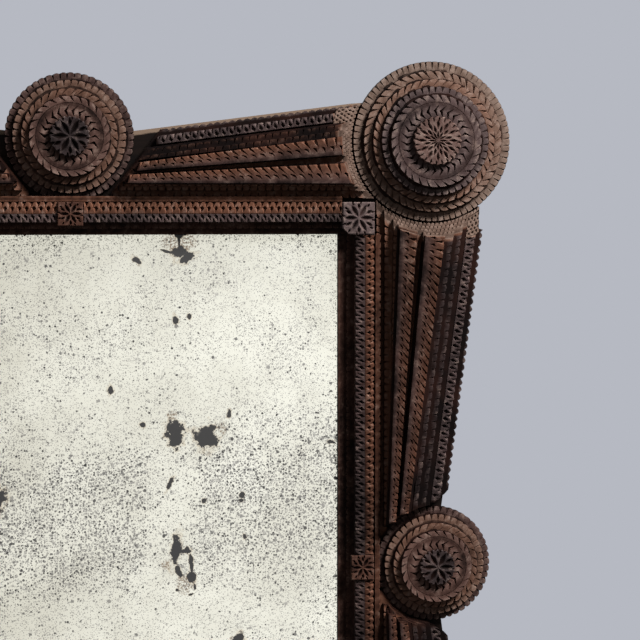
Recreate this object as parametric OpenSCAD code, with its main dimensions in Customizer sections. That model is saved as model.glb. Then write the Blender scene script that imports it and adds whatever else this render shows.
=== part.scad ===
// Wall mirror in a tramp-art frame: flat base boards carrying stacked, notch-carved
// layers. Eight flared panels of stepped layers and rope ridges run between four large
// corner rosettes and four smaller rosettes at the middles of the sides, around a
// notched sight moulding. X runs right, Z up, the front faces -Y, and the wall is Y = 0.

/* [Mirror plate] */
// width of the silvered plate
glass_w = 450; // [400:1:520]
// height of the silvered plate
glass_h = 559; // [500:1:640]
// thickness of the silvered plate
glass_t = 3; // [2:0.5:5]
// how far the sight moulding covers the edge of the plate
sight_lap = 7.6; // [5:0.1:10]

/* [Boards and layers] */
// thickness of the base boards
base_t = 9.5; // [8.5:0.5:14]
// thickness of the planks that close the back
back_t = 5; // [5:0.5:8]
// thickness of every carved layer
layer_t = 4.8; // [4:0.1:6]
// how far the back planks lap over the base boards
plank_lap = 20; // [16:1:26]
// number of planks across the back
plank_count = 3; // [2:1:5]

/* [Sight moulding] */
// width of the whole moulding from the sight edge outward
rail_w = 26; // [24:0.5:30]
// set-back of the zigzag strip from the sight edge
zigzag_back = 9; // [7:0.5:11]
// width of the top strip
cap_strip_w = 8.5; // [7:0.5:10]
// side of the square blocks at the corners of the moulding
corner_block = 26; // [22:0.5:28]
// length along the rail of the small blocks at the middles
middle_block = 20; // [14:1:28]

/* [Flared panels] */
// gap between the moulding and the panels
panel_gap = 3; // [2:0.5:5]
// width of the upright panels extended to the middle of the side
side_mid_w = 53; // [50:1:58]
// width of the level panels extended to the middle of the side
top_mid_w = 45.5; // [43:0.5:50]
// outward flare of the panels per millimetre of length
flare = 0.131; // [0.1:0.001:0.15]
// ledge of the lowest layer outside the border strip
edge_ledge = 5; // [4:0.5:6]
// width of the zigzag border strip
border_w = 8; // [7:0.5:9]
// width of each outer ledge on the upright panels
side_ledge = 8.8; // [7:0.2:9]
// width of each outer ledge on the level panels
top_ledge = 5; // [4.4:0.2:6]
// set-back of each inner ledge
inner_ledge = 6; // [5:0.5:7]

/* [Rosettes] */
// distance of the corner rosettes' centres outside the sight edges
rosette_line = 75; // [72:0.5:80]
// radius of the lowest disc of the corner rosettes
corner_r = 65; // [58:0.5:66]
// radius of the lowest disc of the middle rosettes at top and bottom
top_middle_r = 51; // [47:0.5:52]
// radius of the lowest disc of the middle rosettes at the sides
side_middle_r = 47.6; // [45:0.2:51]
// radius of the octagonal peg through each rosette
peg_r = 3.5; // [2.5:0.5:4]

/* [Notch carving] */
// spacing of the notches along the straight layers
notch_pitch = 6; // [5.4:0.1:7]
// spacing of the slanted notches along the rope ridges
rope_pitch = 7.5; // [6.5:0.1:9]
// spacing of the notches around the discs
disc_pitch = 6.5; // [6:0.1:8]
// depth of the notches on ledges
notch_depth = 2.6; // [1.5:0.1:3]

/* [Ring hangers] */
// height of the hangers above the middle of the frame
hanger_z = 150; // [80:1:180]
// radius of the hanger ring's wire
wire_r = 1.15; // [1:0.05:1.2]
// mean radius of the hanger ring
ring_r = 11; // [10:0.5:13]

/* [Hidden] */
// running clearance of the ring in its eye
eye_clear = 0.08;
// thickness of the hanger strap
strap_t = 1;
strap_w = 15;
strap_len = 42;
// room between pieces that are only laid beside each other
fit_gap = 0.3;
// room around the plate in its rebate
plate_room = 1;
// glue line left between one layer and the next
glue = 0.04;
// share of the pitch that a notch with a flat land beside it takes
land_share = 0.62;
// unnotched length kept at the ends of every edge
end_land = 4.5;
// how much further back each higher layer stops at its two ends
end_step = 2.6;
mid_step = 0.7;
// width of the square tips of the layers beside the middle rosettes
blunt_w = 5;
// clearance of the lowest layer round the rosettes
rosette_room = 1;
// how much sooner than the ridges the border strip stops before the corner rosette
border_room = 7;
// set-back of the upright panels' outer edge beyond the end of the border strip
side_shoulder = 3.3;
// hangers from the inner edge of the upright panels
hanger_off = 36;
sight_x = glass_w / 2 - sight_lap;
sight_z = glass_h / 2 - sight_lap;
rebate_x = glass_w / 2 + plate_room;
rebate_z = glass_h / 2 + plate_room;
front = back_t + base_t;
carved_t = layer_t - glue;
panel_in = rail_w + panel_gap;
rosette_x = sight_x + rosette_line;
rosette_z = sight_z + rosette_line;
// middle rosettes lie just clear of the moulding
middle_line = rail_w + top_middle_r + 0.5;
middle_x = sight_x + middle_line;
middle_z = sight_z + middle_line;
// rosette centres measured from the inner edge of the panels
panel_tc = rosette_line - panel_in;
middle_tc = middle_line - panel_in;
// disc radii as shares of the lowest disc, notch leans in shares of a pitch
corner_share = [1, 0.88, 0.775, 0.68, 0.575, 0.305];
corner_lean = [0, -0.3, 0.3, 0, -0.3, 0];
middle_share = [1, 0.88, 0.745, 0.625, 0.31];
middle_lean = [0, 0, 0.3, -0.3, 0];
// outer corner of the base boards, kept under the corner rosette
corner_x = rosette_x + 0.5 * corner_r;
corner_z = rosette_z + 0.58 * corner_r;
// the base boards stop short of the notch bottoms at the sides and show a margin above
side_inset = 3;
top_margin = 1.5;
plank_w = glass_w + 2 * plank_lap;
plank_h = (glass_h + 2 * plank_lap) / plank_count;
nail_x = glass_w / 2 + plate_room + (plank_lap - plate_room) / 2;
hanger_x = sight_x + panel_in + hanger_off;
eye_h = back_t - 2.3;
ring_half = ring_r;

dark_wood = [0.25, 0.16, 0.11];
mid_wood = [0.36, 0.24, 0.17];
raw_wood = [0.55, 0.43, 0.31];
iron = [0.42, 0.41, 0.39];

// A flat piece: an outline in X and Z, from height h0 off the wall, t thick.
module slab(pts, h0, t) {
    rotate([90, 0, 0])
        translate([0, 0, h0])
            linear_extrude(height = t)
                polygon(pts);
}

// A square bar standing off the wall at (x, z), from height h0, t long.
module bar(x, z, side, h0, t) {
    translate([x - side / 2, -h0 - t, z - side / 2])
        cube([side, t, side]);
}

// An octagonal prism standing off the wall at (x, z).
module octagon(x, z, r, h0, t) {
    rotate([90, 0, 0])
        translate([x, z, h0])
            cylinder(r = r, h = t, $fn = 8);
}

// A round rod standing off the wall at (x, z).
module rod(x, z, r, h0, t) {
    rotate([90, 0, 0])
        translate([x, z, h0])
            cylinder(r = r, h = t, $fn = 48);
}

// Notch corners along a straight edge t = a + b * s between two stations, each notch
// a V that reaches depth off the edge and leans along it. A share of 1 sets the notches
// side by side; phase moves them along by that part of a pitch.
function notched_line(s0, s1, a, b, depth, pitch, lean, share, phase) =
    let (run = abs(s1 - s0) - 2 * end_land,
         n = max(2, round(run / pitch)),
         d = sign(s1 - s0),
         last = n - 1 - ceil(phase),
         corners = share < 1 ? [-1, 0, 1] : [-1, 0])
    depth == 0 ? [] :
    concat([for (i = [0 : last], k = corners)
        let (u = (i + 0.5 + phase + k * share / 2 + (k == 0 ? lean : 0)) / n,
             s = s0 + d * (end_land + run * u))
        [s, a + b * s + (k == 0 ? depth : 0)]],
        share < 1 ? [] :
        [let (s = s0 + d * (end_land + run * (last + 1 + phase) / n)) [s, a + b * s]]);

// Notch corners along the concave end of a layer, round the corner rosette.
function notched_end(sc, r, p0, p1, depth) =
    let (land = end_land / r * 180 / PI,
         run = max(0, abs(p1 - p0) - 2 * land),
         n = max(0, round(run * PI / 180 * r / notch_pitch)),
         d = sign(p1 - p0),
         m = max(1, round(abs(p1 - p0) * PI / 180 * r / notch_pitch)))
    depth == 0 || n < 1 ?
        [for (i = [1 : m - 1])
            let (p = p0 + (p1 - p0) * i / m)
            [sc - r * cos(p), panel_tc + r * sin(p)]] :
    concat([for (i = [0 : n - 1], k = [-1, 0])
        let (p = p0 + d * (land + run * (i + 0.5 + k / 2) / n),
             q = r + (k == 0 ? depth : 0))
        [sc - q * cos(p), panel_tc + q * sin(p)]],
        [let (p = p1 - d * land) [sc - r * cos(p), panel_tc + r * sin(p)]]);

// Station where the edge t = a + b * s meets the circle r round the corner rosette.
function meet_corner(a, b, sc, r) =
    let (e = a - panel_tc,
         p = 1 + b * b,
         q = b * e - sc,
         w = sc * sc + e * e - r * r)
    (-q - sqrt(max(q * q - p * w, 0))) / p;

// Panel settings: width at the middle, outer ledge, set-back and slope of the inner ridge,
// corner station, offset and slant of the line that trims the outer ledges at the middle,
// radius of the middle rosette, shares of the fan that the inner ridge takes and at which
// the outer one starts, and shoulder of the outer edge at the corner.
side_panel = [side_mid_w, side_ledge, 1.1 * inner_ledge, 0.036, rosette_z, -6, 1.1, side_middle_r,
    0.38, 0.56, side_shoulder];
top_panel = [top_mid_w, top_ledge, 2 * inner_ledge, 0, rosette_x, 28, 0.8, top_middle_r,
    0.43, 0.61, 0];

// Layer k stops at the middle outside a circle round the rosette and beyond the trimming line.
function cut_r(P, k) = P[7] + rosette_room + mid_step * k;
function cut_at(P, k, t) =
    max(sqrt(max(pow(cut_r(P, k), 2) - pow(t - middle_tc, 2), 0)), P[5] + mid_step * k + P[6] * t);
// Station where the edge t = a + b * s meets that end.
function meet_middle(P, k, a, b) =
    let (e = a - middle_tc,
         p = 1 + b * b,
         w = pow(b * e, 2) - p * (e * e - pow(cut_r(P, k), 2)))
    max(w > 0 ? (sqrt(w) - b * e) / p : 0, (P[5] + mid_step * k + P[6] * a) / (1 - P[6] * b));
// Radius round the corner rosette at which layer k stops, and the border strip.
function stop(k) = corner_r + rosette_room + end_step * k;
border_stop = stop(4) + border_room;

// Outline of layer k of a panel between the edges t = a0 + b0 * s and t = a1 + b1 * s, from its
// end at the middle rosette to a circle of radius r round the corner rosette, with the outer
// edge set back by hip where the border strip stops. The tip beside the middle rosette is cut
// off square, blunt_w wide.
function layer(P, k, a0, b0, a1, b1, r, hip, d0, d1, dend, pitch, lean, share, phase) =
    let (i0 = meet_middle(P, k, a0 + blunt_w, b0),
         o0 = meet_middle(P, k, a1, b1),
         ti0 = a0 + b0 * i0,
         to0 = a1 + b1 * o0,
         tb = ti0 + blunt_w,
         m = max(2, round((to0 - tb) / 5)),
         sc = P[4],
         i1 = meet_corner(a0, b0, sc, r),
         o1 = meet_corner(a1, b1, sc, hip > 0 ? border_stop : r),
         ti = a0 + b0 * i1,
         to = a1 + b1 * o1,
         te = to - hip,
         o2 = hip > 0 ? meet_corner(te, 0, sc, r) : o1,
         pi = atan2(ti - panel_tc, sc - i1),
         po = atan2(te - panel_tc, sc - o2))
    concat([[o0, to0]],
        notched_line(o0, o1, a1, b1, -d1, pitch, lean, share, 0),
        [[o1, to]],
        hip > 0 ? [[o1, te], [o2, te]] : [],
        notched_end(sc, r, po, pi, dend),
        [[i1, ti]],
        notched_line(i1, i0, a0, b0, d0, pitch, lean, 1, phase),
        [[i0, ti0]],
        [for (j = [0 : m - 1])
            let (t = tb + (to0 - tb) * j / m)
            [cut_at(P, k, t), t]]);

// set-back of the outer edges of the third and fourth layers and of the outer ridge
function back3(P) = edge_ledge + border_w + 0.28 * P[1];
function back4(P) = back3(P) + P[1];
function back5(P) = back4(P) + P[1];

function base_layer(P) =
    layer(P, 0, 0, 0, P[0], flare, stop(0), P[10], notch_depth, notch_depth, notch_depth,
        notch_pitch, 0, land_share, 0);
function border_layer(P) =
    layer(P, 3, P[0] - edge_ledge - border_w, flare, P[0] - edge_ledge, flare, border_stop, 0,
        0.42 * border_w, 0.42 * border_w, 0, notch_pitch, 0, 1, 0.5);
function second_layer(P) =
    layer(P, 1, inner_ledge, 0, P[0] - edge_ledge - border_w - fit_gap, flare, stop(1), 0,
        notch_depth, 0, notch_depth, notch_pitch, 0, 1, 0);
function third_layer(P) =
    layer(P, 2, 1.6 * inner_ledge, 0.3 * P[3], P[0] - back3(P), flare, stop(2), 0,
        0.8 * notch_depth, notch_depth, notch_depth, notch_pitch, 0, 1, 0);

// End piece of the second level between the border strip and the corner rosette.
function end_piece(P) =
    let (sc = P[4],
         r0 = stop(1),
         r1 = border_stop - fit_gap,
         a = P[0] - edge_ledge - border_w,
         so = meet_corner(P[0], flare, sc, border_stop),
         b = P[10] > 0 ? 0 : flare,
         e = (P[10] > 0 ? P[0] + flare * so - P[10] : P[0]) - 1.5,
         i0 = meet_corner(a, flare, sc, r0),
         i1 = meet_corner(a, flare, sc, r1),
         o0 = meet_corner(e, b, sc, r0),
         o1 = meet_corner(e, b, sc, r1))
    concat([[i0, a + flare * i0], [i1, a + flare * i1], [o1, e + b * o1], [o0, e + b * o0]],
        notched_end(sc, r0, atan2(e + b * o0 - panel_tc, sc - o0),
            atan2(a + flare * i0 - panel_tc, sc - i0), notch_depth));

// Ridge edges: the two ridges share the fan between the inner set-back and the outer one.
function fan_a(P, u) = P[2] + u * (P[0] - back5(P) - P[2]);
function fan_b(P, u) = P[3] + u * (flare - P[3]);
function inner_base(P) =
    layer(P, 3, fan_a(P, 0) - 1, fan_b(P, 0), fan_a(P, P[8]) + 1, fan_b(P, P[8]), stop(3), 0,
        0, 0, 0, notch_pitch, 0, 1, 0);
function outer_base(P) =
    layer(P, 3, fan_a(P, P[9]) - 1, fan_b(P, P[9]), P[0] - back4(P), flare, stop(3), 0,
        0, notch_depth, notch_depth, notch_pitch, 0, 1, 0);
function inner_rope(P) =
    layer(P, 4, fan_a(P, 0), fan_b(P, 0), fan_a(P, P[8]), fan_b(P, P[8]), stop(4), 0,
        0.7 * notch_depth, 0.7 * notch_depth, 0, rope_pitch, 0.25, 1, 0);
function outer_rope(P) =
    layer(P, 4, fan_a(P, P[9]), fan_b(P, P[9]), fan_a(P, 1), fan_b(P, 1), stop(4), 0,
        0.7 * notch_depth, 0.7 * notch_depth, 0, rope_pitch, 0.25, 1, 0);

// Panel points turned to the upright sides and to the level sides of the frame.
function upright(pts, sx, sz) = [for (p = pts) [sx * (sight_x + panel_in + p[1]), sz * p[0]]];
function level(pts, sx, sz) = [for (p = pts) [sx * p[0], sz * (sight_z + panel_in + p[1])]];

module upright_plate(sx, sz) {
    color(dark_wood) slab(upright(base_layer(side_panel), sx, sz), front, carved_t);
    color(mid_wood) slab(upright(border_layer(side_panel), sx, sz), front + layer_t, carved_t);
    color(mid_wood) slab(upright(end_piece(side_panel), sx, sz), front + layer_t, carved_t);
}
module upright_steps(sx, sz) {
    color(dark_wood) slab(upright(second_layer(side_panel), sx, sz), front + layer_t, carved_t);
    color(dark_wood) slab(upright(third_layer(side_panel), sx, sz), front + 2 * layer_t, carved_t);
}
module upright_ridges(sx, sz) {
    color(dark_wood) slab(upright(inner_base(side_panel), sx, sz), front + 3 * layer_t, carved_t);
    color(dark_wood) slab(upright(outer_base(side_panel), sx, sz), front + 3 * layer_t, carved_t);
    color(mid_wood) slab(upright(inner_rope(side_panel), sx, sz), front + 4 * layer_t, carved_t);
    color(mid_wood) slab(upright(outer_rope(side_panel), sx, sz), front + 4 * layer_t, carved_t);
}
module level_plate(sx, sz) {
    color(dark_wood) slab(level(base_layer(top_panel), sx, sz), front, carved_t);
    color(mid_wood) slab(level(border_layer(top_panel), sx, sz), front + layer_t, carved_t);
    color(mid_wood) slab(level(end_piece(top_panel), sx, sz), front + layer_t, carved_t);
}
module level_steps(sx, sz) {
    color(dark_wood) slab(level(second_layer(top_panel), sx, sz), front + layer_t, carved_t);
    color(dark_wood) slab(level(third_layer(top_panel), sx, sz), front + 2 * layer_t, carved_t);
}
module level_ridges(sx, sz) {
    color(dark_wood) slab(level(inner_base(top_panel), sx, sz), front + 3 * layer_t, carved_t);
    color(dark_wood) slab(level(outer_base(top_panel), sx, sz), front + 3 * layer_t, carved_t);
    color(mid_wood) slab(level(inner_rope(top_panel), sx, sz), front + 4 * layer_t, carved_t);
    color(mid_wood) slab(level(outer_rope(top_panel), sx, sz), front + 4 * layer_t, carved_t);
}

// Outline of a notched disc whose notches may lean round it.
function notched_disc(x, z, r, lean, share) =
    let (n = max(14, round(2 * PI * r / disc_pitch)),
         depth = min(0.62 * disc_pitch, 0.16 * r))
    [for (i = [0 : n - 1], k = share < 1 ? [-1, 0, 1] : [-1, 0])
        let (a = 360 * (i + k * share / 2 + (k == 0 ? lean : 0)) / n,
             q = r - (k == 0 ? depth : 0))
        [x + q * cos(a), z + q * sin(a)]];

// Radial V grooves of the star on a button, reach long, on the face at height h.
module star(x, z, h, count, r0, reach) {
    for (i = [0 : count - 1])
        translate([x, -h, z])
            rotate([0, 360 * i / count, 0])
                translate([r0, 0, 0])
                    rotate([45, 0, 0])
                        translate([0, -0.9, -0.9])
                            cube([reach, 1.8, 1.8]);
}

// A rosette: discs of falling radius stacked on the base, bored for the peg, with a star
// cut in the closed top button.
module rosette(x, z, r, shares, leans, petals) {
    top = len(shares) - 1;
    for (k = [0 : top - 1])
        color(k % 2 == 0 ? mid_wood : dark_wood)
            difference() {
                slab(notched_disc(x, z, r * shares[k], leans[k], k == 0 ? land_share : 1),
                    front + k * layer_t, carved_t);
                octagon(x, z, peg_r, front + k * layer_t - 1, layer_t + 2);
            }
    color(mid_wood)
        difference() {
            slab(notched_disc(x, z, r * shares[top], leans[top], 1), front + top * layer_t, carved_t);
            octagon(x, z, peg_r, front + top * layer_t - 1, 0.5 * layer_t + 1);
            star(x, z, front + top * layer_t + carved_t, petals, 0.2 * r * shares[top],
                0.55 * r * shares[top]);
        }
}
module corner_rosette(sx, sz) {
    rosette(sx * rosette_x, sz * rosette_z, corner_r, corner_share, corner_lean, 12);
}
module middle_rosette(sx, sz) {
    rosette(sx * middle_x, sz * middle_z, sx == 0 ? top_middle_r : side_middle_r, middle_share,
        middle_lean, 6);
}

// Base boards: width at height z of the upright edge, height at x of the level edge.
function side_edge(z) = sight_x + panel_in + side_mid_w + flare * abs(z) - side_inset;
function top_edge(x) = sight_z + panel_in + top_mid_w + flare * abs(x) + top_margin;
peg_h = back_t + 2;
module rail_board(sz) {
    half = base_t / 2;
    lapped = [[-side_edge(rebate_z), sz * rebate_z], [side_edge(rebate_z), sz * rebate_z],
        [corner_x, sz * corner_z], [rebate_x, sz * top_edge(rebate_x)], [0, sz * top_edge(0)],
        [-rebate_x, sz * top_edge(rebate_x)], [-corner_x, sz * corner_z]];
    plain = [[-rebate_x, sz * rebate_z], [rebate_x, sz * rebate_z],
        [rebate_x, sz * top_edge(rebate_x)], [0, sz * top_edge(0)],
        [-rebate_x, sz * top_edge(rebate_x)]];
    difference() {
        union() {
            slab(lapped, back_t + half, half);
            slab(plain, back_t, half);
        }
        for (sx = [-1, 0, 1])
            octagon(sx * rosette_x, sz * (sx == 0 ? middle_z : rosette_z), peg_r, peg_h, base_t + 2);
    }
}
module stile_board(sx) {
    half = base_t / 2;
    lapped = [for (p = [[rebate_x, top_edge(rebate_x)], [corner_x, corner_z],
        [side_edge(rebate_z), rebate_z], [side_edge(0), 0], [side_edge(rebate_z), -rebate_z],
        [corner_x, -corner_z], [rebate_x, -top_edge(rebate_x)]]) [sx * p[0], p[1]]];
    plain = [for (p = [[rebate_x, rebate_z], [side_edge(rebate_z), rebate_z], [side_edge(0), 0],
        [side_edge(rebate_z), -rebate_z], [rebate_x, -rebate_z]]) [sx * p[0], p[1]]];
    difference() {
        union() {
            slab(lapped, back_t, half);
            slab(plain, back_t + half, half);
        }
        for (sz = [-1, 0, 1])
            octagon(sx * (sz == 0 ? middle_x : rosette_x), sz * rosette_z, peg_r, peg_h, base_t + 2);
        for (p = nail_points(sx))
            bar(p[0], p[1], nail_side, back_t - 1, nail_len - back_t + 1);
        for (z = screw_points)
            rod(sx * hanger_x, z, screw_r, back_t - 1, screw_len + 1);
    }
}
module top_rail() { color(dark_wood) rail_board(1); }
module bottom_rail() { color(dark_wood) rail_board(-1); }
module left_stile() { color(dark_wood) stile_board(-1); }
module right_stile() { color(dark_wood) stile_board(1); }

module mirror_glass() {
    color([0.82, 0.82, 0.8])
        translate([-glass_w / 2, -front, -glass_h / 2])
            cube([glass_w, glass_t, glass_h]);
}
module packing_panel() {
    room = 2 * plate_room;
    color(raw_wood)
        translate([-glass_w / 2 + room, -front + glass_t, -glass_h / 2 + room])
            cube([glass_w - 2 * room, base_t - glass_t, glass_h - 2 * room]);
}

// Cut nails through the ends of the back planks, heads let in flush.
nail_side = 2;
nail_head = 5;
nail_head_t = 1;
nail_len = back_t + 0.7 * base_t;
function plank_z(i) = -glass_h / 2 - plank_lap + (i + 0.5) * plank_h;
function nail_points(sx) =
    [for (i = [0 : plank_count - 1], k = [-1, 1]) [sx * nail_x, plank_z(i) + k * 0.3 * plank_h]];
module nail(x, z) {
    bar(x, z, nail_head, 0, nail_head_t);
    bar(x, z, nail_side, nail_head_t / 2, nail_len - nail_head_t / 2);
}
module back_planks() {
    color(raw_wood)
        difference() {
            for (i = [0 : plank_count - 1])
                translate([-plank_w / 2, -back_t, plank_z(i) - plank_h / 2 + fit_gap])
                    cube([plank_w, back_t, plank_h - 2 * fit_gap]);
            for (sx = [-1, 1], p = nail_points(sx)) {
                bar(p[0], p[1], nail_head, -1, nail_head_t + 1);
                bar(p[0], p[1], nail_side, -1, back_t + 2);
            }
        }
}
module back_nails() {
    color(iron)
        for (sx = [-1, 1], p = nail_points(sx))
            nail(p[0], p[1]);
}

// Sight moulding: a lip over the edge of the plate, a zigzag strip and a notched top strip.
// Strips are drawn with s along the rail and t outward from the sight edge.
function strip(s0, s1, t0, t1, d0, d1) =
    concat([[s0, t1]], notched_line(s0, s1, t1, 0, -d1, rope_pitch, 0, 1, 0), [[s1, t1], [s1, t0]],
        notched_line(s1, s0, t0, 0, d0, notch_pitch, 0, 1, 0), [[s0, t0]]);
function on_level(pts, sz) = [for (p = pts) [p[0], sz * (sight_z + p[1])]];
function on_upright(pts, sx) = [for (p = pts) [sx * (sight_x + p[1]), p[0]]];
// plain edge of the zigzag strip that shows outside the top strip
plain_edge = panel_gap - 2 * fit_gap;
block_in = rail_w - corner_block;
zigzag_d = 0.5 * (rail_w - cap_strip_w - zigzag_back);
function lip_strip(half) = strip(-half, half, 0, rail_w, 0.8 * notch_depth, 0);
function zigzag_strip(half) = strip(-half, half, zigzag_back, rail_w + plain_edge, zigzag_d, 0);
function cap_strip(half, side) =
    strip(side * (middle_block / 2 + fit_gap), side * half, rail_w - cap_strip_w, rail_w,
        0.8 * notch_depth, 0.9 * notch_depth);
level_half = sight_x + block_in - fit_gap;
upright_half = sight_z + block_in - fit_gap;

module lip_level(sz) {
    color(dark_wood)
        slab(concat([[-sight_x - rail_w, sz * (sight_z + rail_w)],
            [sight_x + rail_w, sz * (sight_z + rail_w)], [sight_x + rail_w, sz * sight_z]],
            [for (p = notched_line(sight_x, -sight_x, 0, 0, 0.8 * notch_depth, notch_pitch, 0, 1, 0))
                [p[0], sz * (sight_z + p[1])]],
            [[-sight_x - rail_w, sz * sight_z]]), front, carved_t);
}
module lip_upright(sx) {
    color(dark_wood) slab(on_upright(lip_strip(sight_z), sx), front, carved_t);
}
module moulding_level(sz) {
    color(mid_wood) slab(on_level(zigzag_strip(level_half), sz), front + layer_t, carved_t);
    for (side = [-1, 1])
        color(mid_wood) slab(on_level(cap_strip(level_half, side), sz), front + 2 * layer_t, carved_t);
}
module moulding_upright(sx) {
    color(mid_wood) slab(on_upright(zigzag_strip(upright_half), sx), front + layer_t, carved_t);
    for (side = [-1, 1])
        color(mid_wood)
            slab(on_upright(cap_strip(upright_half, side), sx), front + 2 * layer_t, carved_t);
}
module sight_lip_top() { lip_level(1); }
module sight_lip_bottom() { lip_level(-1); }
module sight_lip_left() { lip_upright(-1); }
module sight_lip_right() { lip_upright(1); }
module moulding_top() { moulding_level(1); }
module moulding_bottom() { moulding_level(-1); }
module moulding_left() { moulding_upright(-1); }
module moulding_right() { moulding_upright(1); }

// Square blocks over the corners of the moulding, the inner corner cut off, star on top.
block_t = 2.2 * layer_t;
block_cut = 0.22 * corner_block;
module corner_blocks() {
    mid = rail_w - corner_block / 2;
    for (sx = [-1, 1], sz = [-1, 1])
        color(mid_wood)
            difference() {
                slab([[sx * (sight_x + rail_w), sz * (sight_z + rail_w)],
                    [sx * (sight_x + block_in), sz * (sight_z + rail_w)],
                    [sx * (sight_x + block_in), sz * (sight_z + block_in + block_cut)],
                    [sx * (sight_x + block_in + block_cut), sz * (sight_z + block_in)],
                    [sx * (sight_x + rail_w), sz * (sight_z + block_in)]], front + layer_t, block_t);
                star(sx * (sight_x + mid), sz * (sight_z + mid), front + layer_t + block_t, 8,
                    0.1 * corner_block, 0.28 * corner_block);
            }
}
// Small blocks bridging the top strips at the middle of every rail.
module middle_blocks() {
    t0 = rail_w - 2.2 * cap_strip_w;
    for (sz = [-1, 1])
        color(mid_wood)
            difference() {
                translate([-middle_block / 2, -front - 2 * layer_t - 1.3 * layer_t,
                    sz > 0 ? sight_z + t0 : -sight_z - rail_w])
                    cube([middle_block, 1.3 * layer_t, rail_w - t0]);
                star(0, sz * (sight_z + (t0 + rail_w) / 2), front + 3.3 * layer_t, 6,
                    0.12 * middle_block, 0.26 * middle_block);
            }
    for (sx = [-1, 1])
        color(mid_wood)
            difference() {
                translate([sx > 0 ? sight_x + t0 : -sight_x - rail_w,
                    -front - 2 * layer_t - 1.3 * layer_t, -middle_block / 2])
                    cube([rail_w - t0, 1.3 * layer_t, middle_block]);
                star(sx * (sight_x + (t0 + rail_w) / 2), 0, front + 3.3 * layer_t, 6,
                    0.12 * middle_block, 0.26 * middle_block);
            }
}

module top_right_plate() { level_plate(1, 1); }
module top_right_steps() { level_steps(1, 1); }
module top_right_ridges() { level_ridges(1, 1); }
module top_left_plate() { level_plate(-1, 1); }
module top_left_steps() { level_steps(-1, 1); }
module top_left_ridges() { level_ridges(-1, 1); }
module bottom_right_plate() { level_plate(1, -1); }
module bottom_right_steps() { level_steps(1, -1); }
module bottom_right_ridges() { level_ridges(1, -1); }
module bottom_left_plate() { level_plate(-1, -1); }
module bottom_left_steps() { level_steps(-1, -1); }
module bottom_left_ridges() { level_ridges(-1, -1); }
module right_upper_plate() { upright_plate(1, 1); }
module right_upper_steps() { upright_steps(1, 1); }
module right_upper_ridges() { upright_ridges(1, 1); }
module right_lower_plate() { upright_plate(1, -1); }
module right_lower_steps() { upright_steps(1, -1); }
module right_lower_ridges() { upright_ridges(1, -1); }
module left_upper_plate() { upright_plate(-1, 1); }
module left_upper_steps() { upright_steps(-1, 1); }
module left_upper_ridges() { upright_ridges(-1, 1); }
module left_lower_plate() { upright_plate(-1, -1); }
module left_lower_steps() { upright_steps(-1, -1); }
module left_lower_ridges() { upright_ridges(-1, -1); }
module corner_rosette_top_right() { corner_rosette(1, 1); }
module corner_rosette_top_left() { corner_rosette(-1, 1); }
module corner_rosette_bottom_right() { corner_rosette(1, -1); }
module corner_rosette_bottom_left() { corner_rosette(-1, -1); }
module middle_rosette_top() { middle_rosette(0, 1); }
module middle_rosette_bottom() { middle_rosette(0, -1); }
module middle_rosette_right() { middle_rosette(1, 0); }
module middle_rosette_left() { middle_rosette(-1, 0); }

// Whittled pegs from the base boards up into the closed top buttons.
module rosette_pegs() {
    corner_top = front + (len(corner_share) - 0.5) * layer_t;
    middle_top = front + (len(middle_share) - 0.5) * layer_t;
    color(raw_wood)
        for (sx = [-1, 0, 1], sz = [-1, 0, 1])
            if (sx != 0 || sz != 0)
                octagon(sx * (sz == 0 ? middle_x : rosette_x), sz * (sx == 0 ? middle_z : rosette_z),
                    peg_r, peg_h, (sx * sz != 0 ? corner_top : middle_top) - peg_h);
}

// Ring hangers on the backs of the stiles: a strap with an eye, a D ring and two screws.
screw_r = 1.4;
screw_head_r = 2.8;
screw_head_t = 1.2;
screw_len = 0.75 * base_t;
screw_points = [hanger_z - strap_len / 3, hanger_z - 5 * strap_len / 7];
eye_r = wire_r + eye_clear + 1;
module strap(x) {
    difference() {
        union() {
            translate([x - strap_w / 2, -back_t, hanger_z - strap_len])
                cube([strap_w, strap_t, strap_len]);
            translate([x - strap_w / 2, -eye_h, hanger_z])
                rotate([0, 90, 0])
                    cylinder(r = eye_r, h = strap_w, $fn = 48);
        }
        translate([x - strap_w / 2 - 1, -eye_h, hanger_z])
            rotate([0, 90, 0])
                cylinder(r = wire_r + eye_clear, h = strap_w + 2, $fn = 48);
        for (z = screw_points)
            rod(x, z, screw_r, back_t - strap_t - 1, strap_t + 2);
    }
}
module ring(x) {
    translate([x, -eye_h, hanger_z]) {
        translate([-ring_half, 0, 0])
            rotate([0, 90, 0])
                cylinder(r = wire_r, h = 2 * ring_half, $fn = 48);
        rotate([90, 0, 0])
            rotate_extrude(angle = 180, $fn = 96)
                translate([ring_half, 0])
                    circle(r = wire_r, $fn = 48);
        for (sx = [-1, 1])
            translate([sx * ring_half, 0, 0])
                sphere(r = wire_r, $fn = 48);
    }
}
module hanger_strap_left() { color(iron) strap(-hanger_x); }
module hanger_strap_right() { color(iron) strap(hanger_x); }
module hanger_ring_left() { color(iron) ring(-hanger_x); }
module hanger_ring_right() { color(iron) ring(hanger_x); }
module hanger_screws() {
    color(iron)
        for (sx = [-1, 1], z = screw_points) {
            rod(sx * hanger_x, z, screw_head_r, back_t - strap_t - screw_head_t, screw_head_t);
            rod(sx * hanger_x, z, screw_r, back_t - strap_t - screw_head_t / 2,
                screw_len + strap_t + screw_head_t / 2);
        }
}

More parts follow.
